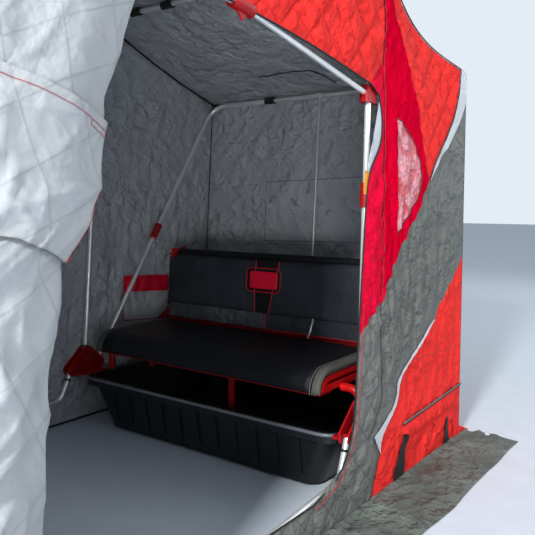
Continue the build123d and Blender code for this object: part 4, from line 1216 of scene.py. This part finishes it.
POLE_X = 0.7512
HUB_FACE, HUB_Y = 0.7340, -0.387
HUB_TOP, HUB_FRONT, HUB_REAR = (0.008, 0.335), (-0.075, 0.262), (0.075, 0.275)
HOLE_PITCH, HOLE_RADIUS, HOLE_SPREAD, HOLE_ROW = 0.0135, 0.0050, 1.40, 0.285
PIN_RADIUS, PIN_ROOM, PIN_DEPTH = 0.006, 0.017, 0.0045
COLLARS = {"top": ((-0.3795, 0.360), (-0.3790, 0.369)), "foot": ((-0.481, 0.222), (-0.485, 0.213))}
pins = np.array([(HUB_Y + y, z) for y, z in (HUB_TOP, HUB_FRONT, HUB_REAR)])
hub_middle = np.mean(pins, axis=0)
hub_plate = [tuple(hub_middle + HOLE_SPREAD * (pin - hub_middle)) for pin in pins]
rows, columns = gridded(*[np.arange(-8, 9) * HOLE_PITCH] * 2)
shift = 0.5 * HOLE_PITCH * (np.round(columns / HOLE_PITCH) % 2)
holes = np.stack([HUB_Y + rows + shift, HOLE_ROW + columns], axis=1)
holes = holes[inside(holes, hub_plate)]
holes = [hole for hole in holes if np.linalg.norm(pins - hole, axis=1).min() > PIN_ROOM]
turn = np.linspace(0, math.tau, 10, endpoint=False)
# The plates' holes are black discs on the face, painted shade of the dark inside the holes; the discs at the
# three pins sit a little deeper
for hand, side in HANDS.items():
    points, faces = [], []
    for round_holes, radius, depth in ((holes, HOLE_RADIUS, 0.0), (pins, PIN_RADIUS, PIN_DEPTH)):
        for y, z in round_holes:
            faces.append([len(points) + k for k in range(len(turn))][:: -side])
            x = side * (HUB_FACE - depth)
            points += [(x, y + radius * math.cos(k), z + radius * math.sin(k)) for k in turn]
    add_mesh(f"hub_holes_{hand}", points, faces, "black_plastic")
    for end, line in COLLARS.items():
        collar = [(side * POLE_X, *point) for point in line]
        tube(f"collar_{end}_{hand}", collar, 0.0142, "black_plastic", sides=20)

# The open door's cloth, hanging forward of the opening

FLAP_EDGE = np.array(
    [(1.640, -1.345), (1.482, -1.390), (1.372, -1.438), (1.310, -1.464), (1.266, -1.484), (1.204, -1.498)]
    + [(1.161, -1.508), (1.082, -1.518), (1.007, -1.556), (0.942, -1.610), (0.859, -1.616), (0.791, -1.634)]
    + [(0.723, -1.643), (0.567, -1.660), (0.426, -1.673), (0.035, -1.700)]
)[::-1]
FLAP_REACH, FLAP_SEED = 0.345, 61
FLAP_PITCH, FLAP_TURN = 0.12, 62

# The open door's folds: depth, step of the seed, distance apart, angle and stretch

FLAP_FOLDS = ((0.024, 2, 0.15, -24, 2.2), (0.010, 5, 0.07, -58, 2.0), (0.003, 8, 0.030, 30, 1.5))


def flap_edge(height):
    """The y of the open door's rear edge, where its cloth turns forward."""
    return np.interp(height, FLAP_EDGE[:, 0], FLAP_EDGE[:, 1])


def flap_section(turns):
    """The folded door's section: (distance forward of its edge, distance off the wall) along its cloth."""
    corners = [(-0.03, 0.000), (0.0, 0.000), (0.003, 0.005), (-0.028, 0.028), (-0.060, 0.050)]
    corners += [(-0.098, 0.057), (-0.160, 0.048), (-0.240, 0.034), (-FLAP_REACH, 0.022)]
    if turns:
        corners += [(-FLAP_REACH - 0.02, 0.018), (-FLAP_REACH, 0.012), (-0.12, 0.012)]
    return stepped(rounded(corners, 3), 0.011)


def flap_sheet(name, low, high, turns, lift, flat):
    """A layer of the open door between two lines, which are functions of the distance forward."""
    section = flap_section(turns)
    rows, columns = 120, len(section)
    forward = section[:, 0]
    height = low(forward) + np.linspace(0, 1, rows)[:, None] * (high(forward) - low(forward))
    length = length_along(section)
    run = np.gradient(section, axis=0)
    normal = unit(np.stack([run[:, 1], -run[:, 0]], axis=1))
    s, t = np.tile(length, rows), height.ravel()
    wave = 0.007 * noise(s / 0.16, t / 0.12, FLAP_SEED)
    for depth, step, size, angle, stretch in FLAP_FOLDS:
        wave += depth * creases(s, t, FLAP_SEED + step, size, angle, stretch)
    wave = wave.reshape(rows, columns)
    still = np.where(normal[:, 1] < -0.2, 0.1, 1.0) * ease((length - length[0]) / 0.05)
    off = section[:, 1] + (0.8 * wave + 0.002) * still * np.abs(normal[:, 1])
    y = flap_edge(height) - 0.75 * np.maximum(off, 0) + forward
    y = y + 0.5 * wave * np.abs(normal[:, 0]) + 0.5 * lift
    points = np.stack([half_width(height) + off + lift, y, height], axis=2)
    cloth = cloth_of(*turned(s, t, FLAP_TURN), FLAP_PITCH)
    made = add_mesh(name, points.reshape(-1, 3), grid_faces(rows, columns), "flap_lining", cloth)
    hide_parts("right_door")
    sheets.append((made, flat, flat[0] * flat[1], "folded"))
    return points, np.argmax(forward)


def line_at(points, rise=0.0):
    """A line of heights over the distance forward, through (distance, height) points."""
    reach, height = zip(*points)
    return lambda forward: np.interp(-forward, reach, height) + rise


HEM = ((-0.1, 1.205), (0.0, 1.215), (0.079, 1.250), (0.156, 1.273), (0.236, 1.292), (0.36, 1.31))
LOW_SEAM = ((-0.1, 0.935), (0.0, 0.942), (0.054, 0.969), (0.134, 0.995), (0.36, 1.02))
flap_sheet("door_flap_upper", line_at(HEM, -0.05), line_at([(0, 1.64)]), True, 0.0, (0.72, 0.44))
middle, fold = flap_sheet("door_flap_middle", line_at(LOW_SEAM), line_at(HEM), False, 0.009, (0.42, 0.28))
flap_sheet("door_flap_lower", line_at([(0, 0.035)]), line_at(LOW_SEAM, 0.05), True, 0.0, (0.72, 0.96))
off_cloth = np.array((0.0015, 0.0, 0.0))
box = np.vstack([middle[-9:-14:-1, fold + 1], middle[-14, fold + 1 : fold + 14], middle[-14:-8, fold + 14]])
for name, path, radius, look in (
    ("flap_stitch", middle[-9, fold:] + off_cloth, 0.0006, "red_piping"),
    ("flap_box", box + off_cloth, 0.0006, "red_piping"),
    ("flap_seam", middle[0, fold:] + off_cloth, 0.0013, "hem_tape"),
    ("flap_piping", middle[: len(middle) // 2, fold], 0.0010, "red_piping"),
    ("flap_corner", middle[:5, fold], 0.003, "red_piping"),
):
    tube(name, path, radius, look)

for made, size, area, held in sheets:
    width, length = sorted(float(x) for x in size)
    width = min(width, area / (0.5 * length))

# Floor and light

bpy.ops.mesh.primitive_plane_add(size=60)
floor = bpy.context.object
floor.name = "floor"
floor.data.materials.append(plain("floor", (0.64, 0.71, 0.79), 0.9, grain=3.0, depth=0.0, spread=0.03))

# Soft square lamps: name, place, the point that each is aimed at, size, power

for name, place, target, size, power in (
    ("key", (2.1, -7.0, 4.4), (0.4, -0.8, 0.8), 0.8, 640),
    ("side", (5.0, 1.6, 2.4), (0.8, -0.2, 1.0), 2.5, 72),
    ("snow", (2.6, -3.6, 0.20), (-0.2, 0.2, 1.9), 1.0, 46),
    ("fill", (-4.5, -5.5, 3.5), (0, -0.6, 0.8), 4.0, 60),
    ("back", (1.5, 5.5, 4.0), (0, 0, 1.0), 4.0, 70),
):
    light = bpy.data.lights.new(name, "AREA")
    light.size, light.energy = size, power
    lamp = bpy.data.objects.new(name, light)
    bpy.context.scene.collection.objects.link(lamp)
    lamp.location = place
    lamp.rotation_mode = "QUATERNION"
    lamp.rotation_quaternion = (Vector(target) - Vector(place)).to_track_quat("-Z", "Y")

WORLD_LIGHT, WORLD_SEEN = 0.45, 0.92
world = bpy.data.worlds.new("world")
world.use_nodes = True
bpy.context.scene.world = world
sky = world.node_tree.nodes["Background"]
sky.inputs["Color"].default_value = (0.84, 0.92, 1.0, 1)
rays = node(world.node_tree, "LightPath").outputs
seen = calc(world.node_tree, "MAXIMUM", rays["Is Camera Ray"], rays["Is Glossy Ray"])
seen = calc(world.node_tree, "MAXIMUM", seen, rays["Is Transmission Ray"])
strength = calc(world.node_tree, "MULTIPLY_ADD", seen, WORLD_SEEN - WORLD_LIGHT, WORLD_LIGHT)
world.node_tree.links.new(strength, sky.inputs["Strength"])

bpy.context.scene.view_settings.view_transform = "Standard"
